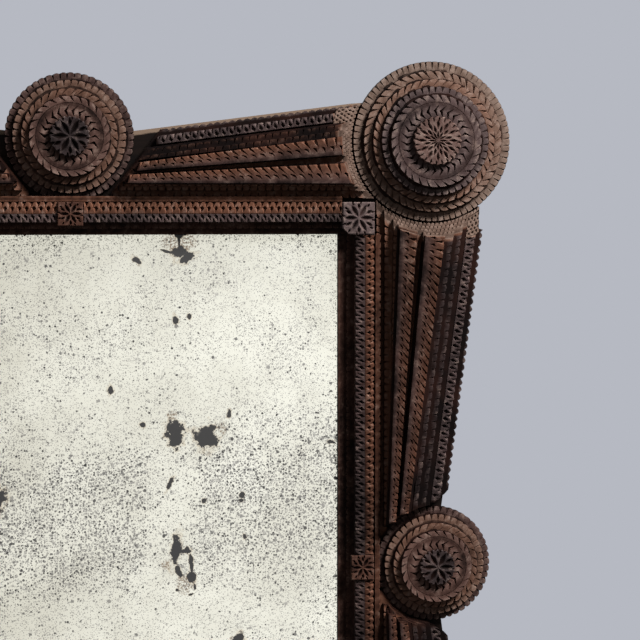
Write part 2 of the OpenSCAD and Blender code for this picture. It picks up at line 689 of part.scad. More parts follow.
top_rail();
bottom_rail();
left_stile();
right_stile();
mirror_glass();
packing_panel();
back_planks();
back_nails();
sight_lip_top();
sight_lip_bottom();
sight_lip_left();
sight_lip_right();
moulding_top();
moulding_bottom();
moulding_left();
moulding_right();
corner_blocks();
middle_blocks();
top_right_plate();
top_right_steps();
top_right_ridges();
top_left_plate();
top_left_steps();
top_left_ridges();
bottom_right_plate();
bottom_right_steps();
bottom_right_ridges();
bottom_left_plate();
bottom_left_steps();
bottom_left_ridges();
right_upper_plate();
right_upper_steps();
right_upper_ridges();
right_lower_plate();
right_lower_steps();
right_lower_ridges();
left_upper_plate();
left_upper_steps();
left_upper_ridges();
left_lower_plate();
left_lower_steps();
left_lower_ridges();
corner_rosette_top_right();
corner_rosette_top_left();
corner_rosette_bottom_right();
corner_rosette_bottom_left();
middle_rosette_top();
middle_rosette_bottom();
middle_rosette_right();
middle_rosette_left();
rosette_pegs();
hanger_strap_left();
hanger_strap_right();
hanger_ring_left();
hanger_ring_right();
hanger_screws();
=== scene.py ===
"""Tramp-art wall mirror: carved layers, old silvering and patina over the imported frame.

X runs right, Z up, the front faces -Y and the wall is the plane Y = 0. Shapes are worked out
in millimetres, as heights off the wall, and go into the meshes in metres."""
import math
from typing import NamedTuple

import bpy
import numpy as np
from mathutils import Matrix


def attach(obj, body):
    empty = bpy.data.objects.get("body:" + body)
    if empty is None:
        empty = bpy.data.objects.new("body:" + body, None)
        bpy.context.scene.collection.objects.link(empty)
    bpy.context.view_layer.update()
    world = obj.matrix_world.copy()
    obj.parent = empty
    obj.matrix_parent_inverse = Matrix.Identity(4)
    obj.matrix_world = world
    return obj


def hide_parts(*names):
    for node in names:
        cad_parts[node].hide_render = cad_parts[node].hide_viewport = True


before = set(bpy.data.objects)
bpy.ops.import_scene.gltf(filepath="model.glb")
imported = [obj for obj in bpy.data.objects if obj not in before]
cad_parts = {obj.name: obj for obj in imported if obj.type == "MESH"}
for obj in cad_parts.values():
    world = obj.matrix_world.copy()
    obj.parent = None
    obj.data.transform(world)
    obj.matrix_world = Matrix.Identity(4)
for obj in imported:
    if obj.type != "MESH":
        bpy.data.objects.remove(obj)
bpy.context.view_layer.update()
rng = np.random.default_rng(1890)

MM = 0.001

# The sight opening, half across and half up, and the moulding round it; all sizes are in millimetres.
SIGHT_X, SIGHT_Z = 217.4, 271.9
RAIL_W, PLAIN_EDGE = 26.0, 4.8
BEAD_LINE, ZIGZAG_RISE = 4.4, 4.2
BLOCK_W, BLOCK_GAP = 20.0, 0.3

# Heights off the wall of the front and the back of the base boards, and the layers glued on them.
FRONT, BACK = 14.5, 5.0
LAYER, GLUE = 4.8, 0.04
CARVED = LAYER - GLUE

# Rosettes: distance of their centres from the opening, and their radii.
CORNER_LINE, CORNER_R = 75.0, 65.0
TOP_MIDDLE_R, SIDE_MIDDLE_R = 51.0, 47.6
MIDDLE_LINE = RAIL_W + TOP_MIDDLE_R + 0.5
ROSETTE_X, ROSETTE_Z = SIGHT_X + CORNER_LINE, SIGHT_Z + CORNER_LINE

# Panels: distance from the opening, slope of the outer edge, border strip, inner ledge, and the
# room that a layer leaves at the rosettes, with what each higher layer adds to it.
PANEL_IN, FLARE = 29.0, 0.131
BORDER_W, INNER_LEDGE = 8.0, 6.0
ROOM, MID_STEP, END_STEP, BORDER_ROOM = 1.0, 0.7, 2.6, 7.0
END_WIDTH, BLUNT = 5.0, 5.0
CORNER_T, MIDDLE_T = CORNER_LINE - PANEL_IN, MIDDLE_LINE - PANEL_IN

# The knife: rubbed arris, least wood left under a cut, plain land at the ends of a row of notches,
# share of a band that its cuts may cross, and how far they stop short of that and of the grime and
# painted shade that darken the inner part of a ledge.
ARRIS, LEFT_UNDER = 0.45, 0.3
PANEL_LAND, END_LAND, STRIP_LAND = 4.0, 1.0, 2.0
CUT_SHARE, CUT_SHORT, SHADE_AND_GRIME_LINE = 0.94, 0.6, 0.5

# A notch: its columns of points, where its shoulders, valley and tip lie as shares, how much of
# the bite each column takes, and how much notches differ.
COLUMNS, SHOULDER, VALLEY_OFF, TIP_SHARE = 6, 0.45, 0.3, 0.12
BITES = (0.0, 0.12, 0.45, 1, 0.45, 0.12)
PLACE_VARIES, WIDTH_VARIES, DEPTH_VARIES, REACH_VARIES = 0.12, 0.18, 0.14, 0.16


class Carve(NamedTuple):
    """A row of knife notches: pitch along the edge, share of the pitch that is cut, depth at
    the edge, reach over the face, bite into the edge in plan, lean in pitches."""
    pitch: float
    share: float
    depth: float
    reach: float
    bite: float
    lean: float = 0.0


class Tone(NamedTuple):
    """Finish of a layer: hue of its worn wood from purple grey through red brown to ochre, dust
    on it, how worn its flats, its lands and its upright edges are, and how much of the wear of
    a land is left where the cuts run out."""
    hue: float
    dust: float
    flat: float = 0.1
    land: float = 0.6
    wall: float = 0.0
    spread: float = 0.75

    def over(self, wear):
        """Finish of points from their wear, with this hue and dust all over."""
        return np.stack([wear, np.full_like(wear, self.hue), np.full_like(wear, self.dust)], -1)


# Cuts of plain edges, of a panel's ledges, scalloped rim and hollow ends, of the beads on the lip, and
# of the rosettes' discs.
PLAIN = Carve(40, 0.1, 0, 2, 0)
LEDGE = Carve(6.2, 0.44, 3.8, 4.2, 0.5)
SCALLOP = Carve(6.0, 0.5, 4.2, 2.4, 1.2)
ENDS = Carve(3.4, 0.46, 2.8, 2.3, 0.4)
SMALL = Carve(5.6, 0.44, 3.4, 3.0, 0.6)
RADIAL = Carve(5.2, 0.38, 2.4, 6.6, 0.15)
LEAN_DOWN = Carve(7.2, 0.4, 3.6, 6.0, 0.5, -0.7)
LEAN_UP = LEAN_DOWN._replace(reach=5.4, lean=0.7)
BLOCKY = Carve(6.0, 0.44, 3.8, 5.2, 0.6)
FACE_LEAN = Carve(7.6, 0.42, 3.4, 5.4, 0.4, -0.6)

# Finishes of the outer ledges and rims, the ropes, the inner ledges, square tips, the lip, wood that
# hardly shows, the zigzag strips, the backs of the ropes, the hollow ends and the plain edge. Flats
# given no wear take the darkest stain, which is grime and also painted shade where the ridges shade
# the panels; the wood that hardly shows is painted near black in the same way.
DARK = Tone(0.4, 0.1, 0.0, 0.32, 0.0, 0.3)
BEADS = Tone(0.05, 0.2, 0.0, 0.4, 0.0, 0.6)
RIM_BEADS = Tone(0.05, 0.2, 0.0, 0.52, 0.0, 0.4)
RED = Tone(0.5, 0.1, 0.1, 0.6)
DULL_RED = RED._replace(land=0.44)
# The inner ledges are painted light: partly less grime, partly painted light standing in for light that
# reaches them past the ridges.
INNER = Tone(0.55, 0.1, 0.75, 0.95, 0.4)
# The square tips at the middle rosettes are painted dark: dirt, and painted shade where the panel's end
# shades the recess beside the rosette.
END = Tone(0.4, 0.1, 0.0, 0.15)
LIP = Tone(0.3, 0.1, 0.35, 0.55)
# Wood in the valleys between the ridges: grime and painted shade.
SHADE_AND_GRIME = Tone(0.3, 0.0, 0.0, 0.05)
GREY = Tone(0.08, 0.4, 0.0, 0.48)
PLUM = Tone(0.15, 0.1, 0.0, 0.45)
TAN = Tone(0.9, 0.25, 0.5, 0.8, 0.5)
EDGE = Tone(0.5, 0.1, 0.4, 0.45)


class Shell:
    """Collects closed grids of points into one mesh, each turned to face outwards."""

    def __init__(self):
        self.points, self.finish, self.faces, self.count = [], [], [], 0

    def tube(self, grid, finish, ring=False):
        """Add rows x columns points whose rows close on themselves; the columns close too
        if ring is set, and are capped with fans of triangles if not."""
        rows, cols = grid.shape[:2]
        here = np.arange(rows * cols).reshape(rows, cols)
        over = np.roll(here, -1, axis=0)
        if ring:
            quads = np.stack([here, np.roll(here, -1, 1), np.roll(over, -1, 1), over], -1)
            caps = np.zeros((0, 3), int)
        else:
            quads = np.stack([here[:, :-1], here[:, 1:], over[:, 1:], over[:, :-1]], -1)
            fan = np.stack([np.zeros(rows - 2, int), np.arange(1, rows - 1), np.arange(2, rows)], -1)
            caps = np.concatenate([here[:, 0][fan], here[:, -1][fan][:, ::-1]])
        self.put(grid.reshape(-1, 3), finish.reshape(-1, 3), quads.reshape(-1, 4), caps)

    def put(self, points, finish, quads, triangles):
        """Add faces, flipped as a whole where the volume that they enclose comes out negative."""
        local = points - points.mean(0)
        halves = np.concatenate([quads[:, [0, 1, 2]], quads[:, [0, 2, 3]], triangles])
        a, b, c = (local[halves[:, k]] for k in range(3))
        if np.einsum("ij,ij->i", a, np.cross(b, c)).sum() < 0:
            quads, triangles = quads[:, ::-1], triangles[:, ::-1]
        self.points.append(points)
        self.finish.append(finish)
        self.faces += (quads + self.count).tolist() + (triangles + self.count).tolist()
        self.count += len(points)

    def build(self, name, slot, material):
        """Make the piece that stands for a node, with its finish as a colour attribute."""
        mesh = bpy.data.meshes.new("carved_" + name)
        mesh.from_pydata((np.concatenate(self.points) * MM).tolist(), [], self.faces)
        colour = np.concatenate(self.finish)
        colour = np.c_[colour, np.ones(len(colour))].astype(np.float32)
        mesh.attributes.new("finish", "FLOAT_COLOR", "POINT").data.foreach_set("color", colour.ravel())
        mesh.materials.append(material)
        mesh.update()
        piece = bpy.data.objects.new("carved_" + name, mesh)
        bpy.context.scene.collection.objects.link(piece)
        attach(piece, "frame")
        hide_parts(name)


def mark_ends(finish, ends):
    """Give the first and the last column of a finish the tones of two ends."""
    for column, end in zip((0, -1), ends):
        finish[:, column] = (end.land, end.hue, end.dust)


class Notches:
    """A row of knife notches laid out between two stations of an edge. Each notch has six
    columns: the middle of the land before it, a shoulder, a crease, the valley, the other
    crease and shoulder, and no two notches are quite alike. at and tip are the stations of the
    columns at the edge and where the cut runs out, bite and drop its plan and depth there."""

    def __init__(self, start, stop, carve, margin=0.0, ring=False):
        count = max(2, round((stop - start - 2 * margin) / carve.pitch))
        step = (stop - start - 2 * margin) / count

        def vary(amount):
            return 1 + amount * rng.uniform(-1, 1, count)
        land = start + margin + np.arange(count) * step
        middle = land + 0.5 * step * vary(PLACE_VARIES)
        half = 0.5 * carve.share * step * vary(WIDTH_VARIES)
        ease = half + SHOULDER * (0.5 * step - half)
        end = middle + carve.lean * step * vary(PLACE_VARIES)
        valley, point = middle + VALLEY_OFF * half, TIP_SHARE * half
        self.at = np.stack([land, middle - ease, middle - half, valley, middle + half,
                            middle + ease], 1).ravel()
        self.tip = np.stack([land + carve.lean * step, end - ease, end - point, end, end + point,
                             end + ease], 1).ravel()
        self.valley = np.tile([0.0, 0, 0, 1, 0, 0], count)
        self.bite = np.tile(BITES, count) * carve.bite
        depth = np.minimum(carve.depth * vary(DEPTH_VARIES), CARVED - LEFT_UNDER)
        self.drop = np.repeat(depth, COLUMNS) * self.valley
        self.reach = np.repeat(carve.reach * vary(REACH_VARIES), COLUMNS)
        if not ring:
            self.add_ends(start, [stop - margin, stop], carve.reach)

    def add_ends(self, first, last, reach):
        """Plain columns before the first notch and after the last one."""
        self.at = np.concatenate([[first], self.at, last])
        self.tip = np.concatenate([[first], self.tip, last])
        plain = (np.pad(row, (1, 2)) for row in (self.valley, self.bite, self.drop))
        self.valley, self.bite, self.drop = plain
        self.reach = np.pad(self.reach, (1, 2), constant_values=reach)

    def rows(self, limit):
        """Stations, inward distances and heights of the foot, the arris, the rubbed edge over
        it, the line where the cuts run out, short of the limit, and the start of the grime and
        painted shade behind it."""
        reach = np.maximum(np.minimum(self.reach, limit - CUT_SHORT), self.bite + 2 * ARRIS)
        share = ARRIS / (reach - self.bite)
        station = np.stack([self.at, self.at, self.at + share * (self.tip - self.at), self.tip, self.tip])
        # The row past the run-out starts the flats: grime and painted shade in the inner part of a ledge.
        inward = np.stack([self.bite, self.bite, self.bite + ARRIS, reach, reach + SHADE_AND_GRIME_LINE])
        level = np.zeros_like(self.at)
        height = np.stack([level, CARVED - 0.9 * ARRIS * (1 - self.valley) - self.drop,
                           CARVED - self.drop * (1 - share), level + CARVED, level + CARVED])
        return station, inward, height

    def finish(self, tone, flats=1, ends=()):
        """Finish of a band: a count of rows under it and its foot, the arris, the rubbed edge and
        the run-out of the cuts, the grime and painted shade behind them and the same count of flats.
        The valleys are a little less worn than the lands; ends gives the tones of the first and last columns."""
        land = 1 - 0.3 * self.valley
        flat, wall = 0 * land + tone.flat, 0 * land + tone.wall
        run_out = tone.land * tone.spread * land
        rows = [wall, wall * land, tone.land * land, run_out, flat]
        wear = np.stack([wall] * flats + rows + [flat] * flats)
        finish = tone.over(wear)
        mark_ends(finish, ends)
        return finish


class Side(NamedTuple):
    """One side of the frame, with s along it from its middle and t outward from inset."""
    upright: bool
    sx: int
    sz: int

    def place(self, s, t, height, inset=PANEL_IN):
        """Points in space from stations, outward distances and heights off the wall."""
        if self.upright:
            x, z = self.sx * (SIGHT_X + inset + t), self.sz * s
        else:
            x, z = self.sx * s, self.sz * (SIGHT_Z + inset + t)
        return np.stack(np.broadcast_arrays(x, -height, z), -1)


class Line(NamedTuple):
    """A layer's edge t = a + b s, straight and slanting over the panel."""
    a: float
    b: float

    def moved(self, distance):
        """The same line further out."""
        return Line(self.a + distance, self.b)

    def between(self, other):
        """The line halfway to another one."""
        return Line((self.a + other.a) / 2, (self.b + other.b) / 2)


class Panel(NamedTuple):
    """A flared panel: width at the middle, ledge between its outer steps, start and slope of
    the inner ridge, station of the corner rosette, offset and slant of the line that trims its
    outer ledges at the middle, radius of the middle rosette, share of the fan that the inner
    ridge takes, share at which the outer one starts, shoulder at the corner, ledge outside the
    border strip, width of that strip and ledge inside it."""
    width: float
    ledge: float
    ridge_in: float
    ridge_slope: float
    corner: float
    trim: float
    slant: float
    middle_r: float
    inner_ridge: float
    outer_ridge: float
    shoulder: float
    rim: float
    border: float
    shelf: float

    def first(self, line, k):
        """Station where an edge meets the end of layer k at the middle: a circle round the
        rosette, or the trimming line where that is further out."""
        off, grow = line.a - MIDDLE_T, 1 + line.b ** 2
        under = (line.b * off) ** 2 - grow * (off ** 2 - (self.middle_r + ROOM + MID_STEP * k) ** 2)
        on_circle = np.where(under > 0, (np.sqrt(np.maximum(under, 0)) - line.b * off) / grow, 0)
        on_trim = (self.trim + MID_STEP * k + self.slant * line.a) / (1 - self.slant * line.b)
        return np.maximum(on_circle, on_trim)

    def last(self, line, radius):
        """Station where an edge meets a circle round the corner rosette."""
        off, grow = line.a - CORNER_T, 1 + line.b ** 2
        half = line.b * off - self.corner
        rest = self.corner ** 2 + off ** 2 - radius ** 2
        return (-half - np.sqrt(np.maximum(half ** 2 - grow * rest, 0))) / grow

    def bearing(self, line, radius):
        """Angle round the corner rosette at which an edge meets a circle."""
        s = self.last(line, radius)
        return np.arctan2(line.a + line.b * s - CORNER_T, self.corner - s)

    def round_corner(self, side, r, angle, height):
        """Points in space from radii and angles round the corner rosette."""
        return side.place(self.corner - r * np.cos(angle), CORNER_T + r * np.sin(angle), height)

    def back(self, steps):
        """Set-back of the outer edge of the third and later layers."""
        return self.rim + BORDER_W + self.shelf + steps * self.ledge

    def ridge(self, share):
        """Line at a share of the way across the fan of ridges."""
        outer = self.width - self.back(2)
        return Line(self.ridge_in + share * (outer - self.ridge_in),
                    self.ridge_slope + share * (FLARE - self.ridge_slope))


UPRIGHT = Panel(width=53.0, ledge=7.8, ridge_in=6.6, ridge_slope=0.036, corner=ROSETTE_Z,
                trim=-6.0, slant=1.1, middle_r=SIDE_MIDDLE_R, inner_ridge=0.38, outer_ridge=0.56,
                shoulder=3.3, rim=6.6, border=8.0, shelf=4.7)
LEVEL = Panel(width=45.5, ledge=5.0, ridge_in=12.0, ridge_slope=0.0, corner=ROSETTE_X,
              trim=28.0, slant=0.8, middle_r=TOP_MIDDLE_R, inner_ridge=0.43, outer_ridge=0.61,
              shoulder=0.0, rim=5.0, border=6.8, shelf=1.4)


def stop_radius(k):
    """Radius round the corner rosette at which layer k of a panel stops."""
    return CORNER_R + ROOM + END_STEP * k


BORDER_STOP = stop_radius(4) + BORDER_ROOM
FADE, FADE_GROWS = 20, 1.6


def drawn(s, s0, s1, lo, hi):
    """Stations of a row that runs from s0 to s1, drawn out or in so that it runs from lo to hi;
    the move fades out over a length that grows with it."""
    near, far = lo - s0, hi - s1
    near_fade, far_fade = (FADE + FADE_GROWS * np.abs(move) for move in (near, far))
    return s + near * np.clip(1 - (s - s0) / near_fade, 0, 1) + far * np.clip(1 - (s1 - s) / far_fade, 0, 1)


def edge_band(shell, side, panel, edge, middle, base, k, radius, carve, tone, inward, shoulder=0.0):
    """Half of a long layer: a notched edge carried up over its arris to the middle line of
    the layer and back under it, from the middle rosette to the corner circle. shoulder sets
    the edge back where the border strip stops."""
    tip = edge.moved(BLUNT) if inward > 0 else edge
    s0, s1 = panel.first(tip, k), panel.last(edge, radius)
    hip = panel.last(edge, BORDER_STOP) if shoulder else s1 + 1
    cuts = Notches(s0, s1, carve, PANEL_LAND)
    half_width = np.abs((middle.a - edge.a) + (middle.b - edge.b) * cuts.at)
    station, distance, height = cuts.rows(CUT_SHARE * half_width)
    row = Line(edge.a + inward * distance, edge.b)
    start = Line(np.maximum(row.a, tip.a) if inward > 0 else row.a, edge.b)
    station = drawn(station, s0, s1, panel.first(start, k), panel.last(row, radius))
    out = edge.a + edge.b * np.minimum(station, hip) - shoulder * (station > hip) + inward * distance
    lines = (edge.between(middle), middle)
    across = [drawn(cuts.at, s0, s1, panel.first(line, k), panel.last(line, radius)) for line in lines]
    reach = [line.a + line.b * s for line, s in zip(lines, across)]
    s = np.concatenate([across[::-1], station, across])
    t = np.concatenate([reach[::-1], out, reach])
    flat = np.zeros((2, cuts.at.size))
    h = np.concatenate([flat, height, flat + CARVED])
    shell.tube(side.place(s, t, base + h), cuts.finish(tone, 2, (END, TAN)))


def end_band(shell, side, panel, inner, outer, base, radius, carve, tone):
    """Concave notched end of a layer: a band of constant width round the corner rosette, fitted
    at every radius between the inner and the outer edge lines."""
    start, stop = panel.bearing(inner, radius), panel.bearing(outer, radius)
    cuts = Notches(start * radius, stop * radius, carve, END_LAND)
    station, distance, height = cuts.rows(CUT_SHARE * END_WIDTH)
    share = (np.concatenate([cuts.at[None], station, cuts.at[None]]) / radius - start) / (stop - start)
    far = 0 * cuts.at[None] + END_WIDTH
    r = radius + np.concatenate([far, distance, far])
    low, high = panel.bearing(inner, r), panel.bearing(outer, r)
    angle = low + share * (high - low)
    h = np.concatenate([0 * far, height, 0 * far + CARVED])
    shell.tube(panel.round_corner(side, r, angle, base + h), cuts.finish(tone))


# A pitted end piece: grid of its points, first row of pits, distance of the rows, pitch along them, and
# half sizes and depth of a pit.
PIT_GRID, PIT_START, PIT_ROW, PIT_PITCH = 0.65, 1.5, 2.7, 3.4
PIT_HALF_W, PIT_HALF_H, PIT_DEPTH = 1.15, 1.3, 2.8


def pitted_band(shell, side, panel, inner, outer, base, r0, r1, tone):
    """Piece between two circles round the corner rosette and two edge lines, its face covered
    with rows of small chips: pyramids on a staggered lattice of arc length and radius."""
    r = np.concatenate([[r1, r0], np.arange(r0, r1, PIT_GRID), [r1]])[:, None]
    low, high = panel.bearing(inner, r), panel.bearing(outer, r)
    share = np.linspace(0, 1, round(float((high - low).max()) * r0 / PIT_GRID))
    angle = low + share * (high - low)
    row = np.round((r - r0 - PIT_START) / PIT_ROW)
    beside = angle * r / PIT_PITCH + 0.5 * (row % 2)
    vary = np.sin(5.3 * np.round(beside) + 2.9 * row)
    beside = np.abs(beside - np.round(beside) + 0.08 * vary) * PIT_PITCH
    above = np.abs(r - r0 - PIT_START - PIT_ROW * row)
    chip = np.clip(1 - beside / PIT_HALF_W - above / (PIT_HALF_H + 0.2 * vary), 0, 1)
    h = CARVED - PIT_DEPTH * chip
    h[:2] = 0
    wear = np.where(h == 0, tone.wall, tone.land * (1 - 0.5 * chip))
    shell.tube(panel.round_corner(side, r, angle, base + h), tone.over(wear))


def layer(shell, side, panel, inner, outer, level, k, carves, tones, shoulder=0.0):
    """A panel layer of two notched halves that meet at its middle line. carves and tones are
    for the inner edge, the outer edge and, where there is a third, the end at the corner."""
    base = FRONT + level * LAYER
    radius = stop_radius(k)
    reach = radius + (END_WIDTH if len(carves) > 2 else 0)
    middle = inner.between(outer)
    edge_band(shell, side, panel, inner, middle, base, k, reach, carves[0], tones[0], 1)
    edge_band(shell, side, panel, outer, middle, base, k, reach, carves[1], tones[1], -1, shoulder)
    if len(carves) > 2:
        end = Line(shoulder_line(panel), 0) if shoulder else outer
        end_band(shell, side, panel, inner, end, base, radius, carves[2], tones[2])


def shoulder_line(panel):
    """Distance outward of a panel's edge beyond its shoulder."""
    edge = Line(panel.width, FLARE)
    return edge.a + edge.b * panel.last(edge, BORDER_STOP) - panel.shoulder


class Chips(NamedTuple):
    """Two rows of chips across a narrow strip: pitch, lean over the width in pitches, share of
    the pitch, reach and depth of the row from the outer edge, and share of the pitch, deep
    point, tip and depth of the second row, which closes again beyond its deep point; reaches
    are shares of the width."""
    pitch: float
    lean: float
    share: float
    reach: float
    depth: float
    second_share: float
    deep: float
    tip: float
    second_depth: float
    close: float = 0.07


ZIGZAG = Chips(pitch=6.0, lean=0.35, share=0.78, reach=0.6, depth=4.4,
               second_share=0.7, deep=0.66, tip=0.14, second_depth=4.2, close=0.32)
RAIL_ZIGZAG = ZIGZAG._replace(pitch=5.6, lean=-0.35)
ROPE = Chips(pitch=7.0, lean=0.0, share=0.56, reach=0.58, depth=4.2,
             second_share=0.56, deep=0.52, tip=0.78, second_depth=3.6)
FINE_ROPE = ROPE._replace(pitch=6.0, reach=0.64)
CAP = Chips(pitch=5.6, lean=-0.3, share=0.76, reach=0.6, depth=4.2,
            second_share=0.72, deep=0.52, tip=1.0, second_depth=4.0, close=0.2)
# How much chips differ, their width where they run out, lean of their valleys, the row just inside the
# edge, room at the two ends, and how the edges are rubbed down and worn.
CHIP_VARIES, CHIP_TIP, VALLEY_LEAN, EDGE_ROW, END_ROOM = 0.14, 0.08, 0.4, 0.05, 0.2
RUBBED_OFF, CUT_WEAR, EDGE_WEAR = 0.3, 1.25, 0.7


def chip_rows(s0, s1, chips):
    """Shares of a strip's width at which its rows of points lie, their stations, and the depth
    and the height of two rows of chips, the second between the first. Each pair has six
    columns: a crease, the valley and a crease of each. A chip narrows from its deep end to its
    tip as its depth does, with one wall steeper than the other."""
    count = max(2, round((s1 - s0) / chips.pitch))
    step = (s1 - s0) / count
    shut = chips.deep - math.copysign(chips.close, chips.tip - chips.deep)
    q = np.array(sorted({0, EDGE_ROW, chips.reach, shut, chips.deep, chips.tip, 1}))[:, None]
    first = np.clip(1 - q / chips.reach, 0, 1)
    closing = np.minimum((q - chips.tip) / (chips.deep - chips.tip), (q - shut) / (chips.deep - shut))
    second = np.clip(closing, 0, 1)
    vary = 1 + CHIP_VARIES * rng.uniform(-1, 1, (4, count))
    start = s0 + (np.arange(count) + 0.25) * step + chips.lean * step * (q - 0.5)
    start = start + 0.03 * step * (vary[3] - 1)
    other = start + 0.5 * step
    near = np.maximum(first, CHIP_TIP) * 0.5 * chips.share * step * vary[0]
    far = np.maximum(second, CHIP_TIP) * 0.5 * chips.second_share * step * vary[1]
    station = np.stack([start - near, start + VALLEY_LEAN * near, start + near,
                        other - far, other + VALLEY_LEAN * far, other + far], -1)
    station = np.clip(station.reshape(len(q), -1), s0 + END_ROOM, s1 - END_ROOM)
    depth = (first * chips.depth * np.tile([0.0, 1, 0, 0, 0, 0], count)
             + second * chips.second_depth * np.tile([0.0, 0, 0, 0, 1, 0], count))
    height = CARVED - np.minimum(depth * np.repeat(vary[2], COLUMNS), CARVED - LEFT_UNDER)
    return q, station, depth, height


def chip_band(shell, place, s0, s1, base, chips, tones, hidden=(), rise=0.0):
    """A strip with two rows of chips. place gives points from a station, a share of the width
    inward from the outer edge and a height; hidden adds plain rows of share and height behind
    the strip, in the last of the tones, and rise lifts the face."""
    q, station, depth, height = chip_rows(s0, s1, chips)
    height[[0, -1]] -= RUBBED_OFF
    land = tones[0].land * (1 - q) + tones[1].land * q
    wear = np.where(depth > 0.05, CUT_WEAR, 1) * land * np.where((q == 0) | (q == 1), EDGE_WEAR, 1)
    pad = ((0, 0), (1, 1))
    station = np.concatenate([0 * q + s0, station, 0 * q + s1], 1)
    height = np.pad(height, pad, constant_values=CARVED - RUBBED_OFF) + rise
    wear = np.pad(wear, pad)
    across = q + 0 * station
    for share, level in (*hidden, (hidden[-1][0] if hidden else 1, 0), (0, 0)):
        station = np.concatenate([station, station[:1] if share == 0 else station[-1:]])
        across = np.concatenate([across, 0 * across[:1] + share])
        height = np.concatenate([height, 0 * height[:1] + level])
        wear = np.concatenate([wear, 0 * wear[:1] + (tones[-1].land if level else 0)])
    blend = np.clip(across, 0, 1)
    hue = np.where(across > 1, tones[-1].hue, tones[0].hue * (1 - blend) + tones[1].hue * blend)
    dust = np.where(across > 1, tones[-1].dust, tones[0].dust * (1 - blend) + tones[1].dust * blend)
    finish = np.stack([wear, hue, dust], -1)
    mark_ends(finish, (END, TAN))
    shell.tube(place(station, across, base + height), finish)


SKEW_FADE = 40


def on_panel(shell, side, panel, outer, inner, k, radius, level, chips, tones, skew=0.0):
    """A chip-carved strip of a panel between its outer and its inner edge line, ended as its
    layer is. skew slants the chips, as distance along for each distance inward, fading out at
    the two ends of the strip."""
    s0, s1 = panel.first(outer, k), panel.last(outer, radius)

    def place(s, q, h):
        line = Line(outer.a + (inner.a - outer.a) * q, outer.b + (inner.b - outer.b) * q)
        wide = outer.a - inner.a + (outer.b - inner.b) * s
        slide = skew * wide * (q - 0.5) * np.clip(np.minimum(s - s0, s1 - s) / SKEW_FADE, 0, 1)
        tip = Line(np.maximum(line.a, inner.a + BLUNT), line.b)
        s = drawn(s, s0, s1, panel.first(tip, k), panel.last(line, radius)) + slide
        return side.place(s, line.a + line.b * s, h)
    chip_band(shell, place, s0, s1, FRONT + level * LAYER, chips, tones)


# Set-back of a pitted end piece, gap round it, how far the foot of a ridge stands out, slant of its
# rope, and where the third layer starts and how it slopes, as shares of the ledge and of the ridge.
PIT_EDGE, STEP_GAP, RIDGE_FOOT, ROPE_SLANT = 1.5, 0.3, 1.0, 1.2
THIRD_LEDGE, THIRD_SLOPE = 1.6, 0.3


def panel_pieces(name, side, panel):
    """The plate, the steps and the ridges of one flared panel."""
    inner, outer = Line(0, 0), Line(panel.width, FLARE)
    border = outer.moved(-panel.rim)
    under = border.moved(-BORDER_W)
    third = Line(THIRD_LEDGE * INNER_LEDGE, THIRD_SLOPE * panel.ridge_slope)
    fan = [panel.ridge(share) for share in (0, panel.inner_ridge, panel.outer_ridge, 1)]
    beads, red, rope = (BEADS, DULL_RED, FINE_ROPE) if side.upright else (DARK, RED, ROPE)
    plate, steps, ridges = Shell(), Shell(), Shell()
    layer(plate, side, panel, inner, outer, 0, 0, (LEDGE, SCALLOP, ENDS), (INNER, RIM_BEADS, TAN),
          panel.shoulder)
    on_panel(plate, side, panel, border, border.moved(-panel.border), 3, BORDER_STOP, 1, ZIGZAG, (GREY, GREY))
    end = Line(shoulder_line(panel), 0) if panel.shoulder else outer
    pitted_band(plate, side, panel, under, end.moved(-PIT_EDGE), FRONT + LAYER, stop_radius(1),
                BORDER_STOP - STEP_GAP, TAN)
    layer(steps, side, panel, Line(INNER_LEDGE, 0), under.moved(-STEP_GAP), 1, 1, (LEDGE, PLAIN, ENDS),
          (INNER, SHADE_AND_GRIME, TAN))
    layer(steps, side, panel, third, outer.moved(-panel.back(0)), 2, 2, (LEDGE, LEDGE, ENDS),
          (INNER, beads, TAN))
    layer(ridges, side, panel, fan[0].moved(-RIDGE_FOOT), fan[1].moved(RIDGE_FOOT), 3, 3, (PLAIN, PLAIN),
          (SHADE_AND_GRIME, SHADE_AND_GRIME))
    layer(ridges, side, panel, fan[2].moved(-RIDGE_FOOT), outer.moved(-panel.back(1)), 3, 3,
          (PLAIN, LEDGE, ENDS), (SHADE_AND_GRIME, beads, TAN))
    for low, high in ((fan[0], fan[1]), (fan[2], fan[3])):
        on_panel(ridges, side, panel, high, low, 4, stop_radius(4), 4, rope, (red, PLUM), ROPE_SLANT)
    for part, shell in (("plate", plate), ("steps", steps), ("ridges", ridges)):
        shell.build(f"{name}_{part}", "panel_wood", patina)


def round_about(x, z, r, angle, height):
    """Points in space from radii and angles round a centre, and heights off the wall."""
    return np.stack([x + r * np.cos(angle), -height, z + r * np.sin(angle)], -1)


def disc(shell, x, z, radius, level, carve, tone, bore):
    """A notched disc: the carved edge carried round a circle and in to a bore."""
    cuts = Notches(0, 2 * math.pi * radius, carve, ring=True)
    station, distance, height = cuts.rows(radius - bore)
    hole = 0 * cuts.at[None] + radius - bore
    angle = np.concatenate([cuts.at[None], station, cuts.tip[None]]) / radius
    r = radius - np.concatenate([hole, distance, hole])
    h = FRONT + level * LAYER + np.concatenate([0 * hole, height, 0 * hole + CARVED])
    shell.tube(round_about(x, z, r, angle, h), cuts.finish(tone), ring=True)


# Chevrons: their spacing, how far their points run ahead, their depth, and the share of their width at
# the two ends.
CHEVRON = Carve(5.6, 0.5, 0, 2, 0)
CHEVRON_LEAD, CHEVRON_DEPTH, CHEVRON_END = 3.2, 2.4, 0.16
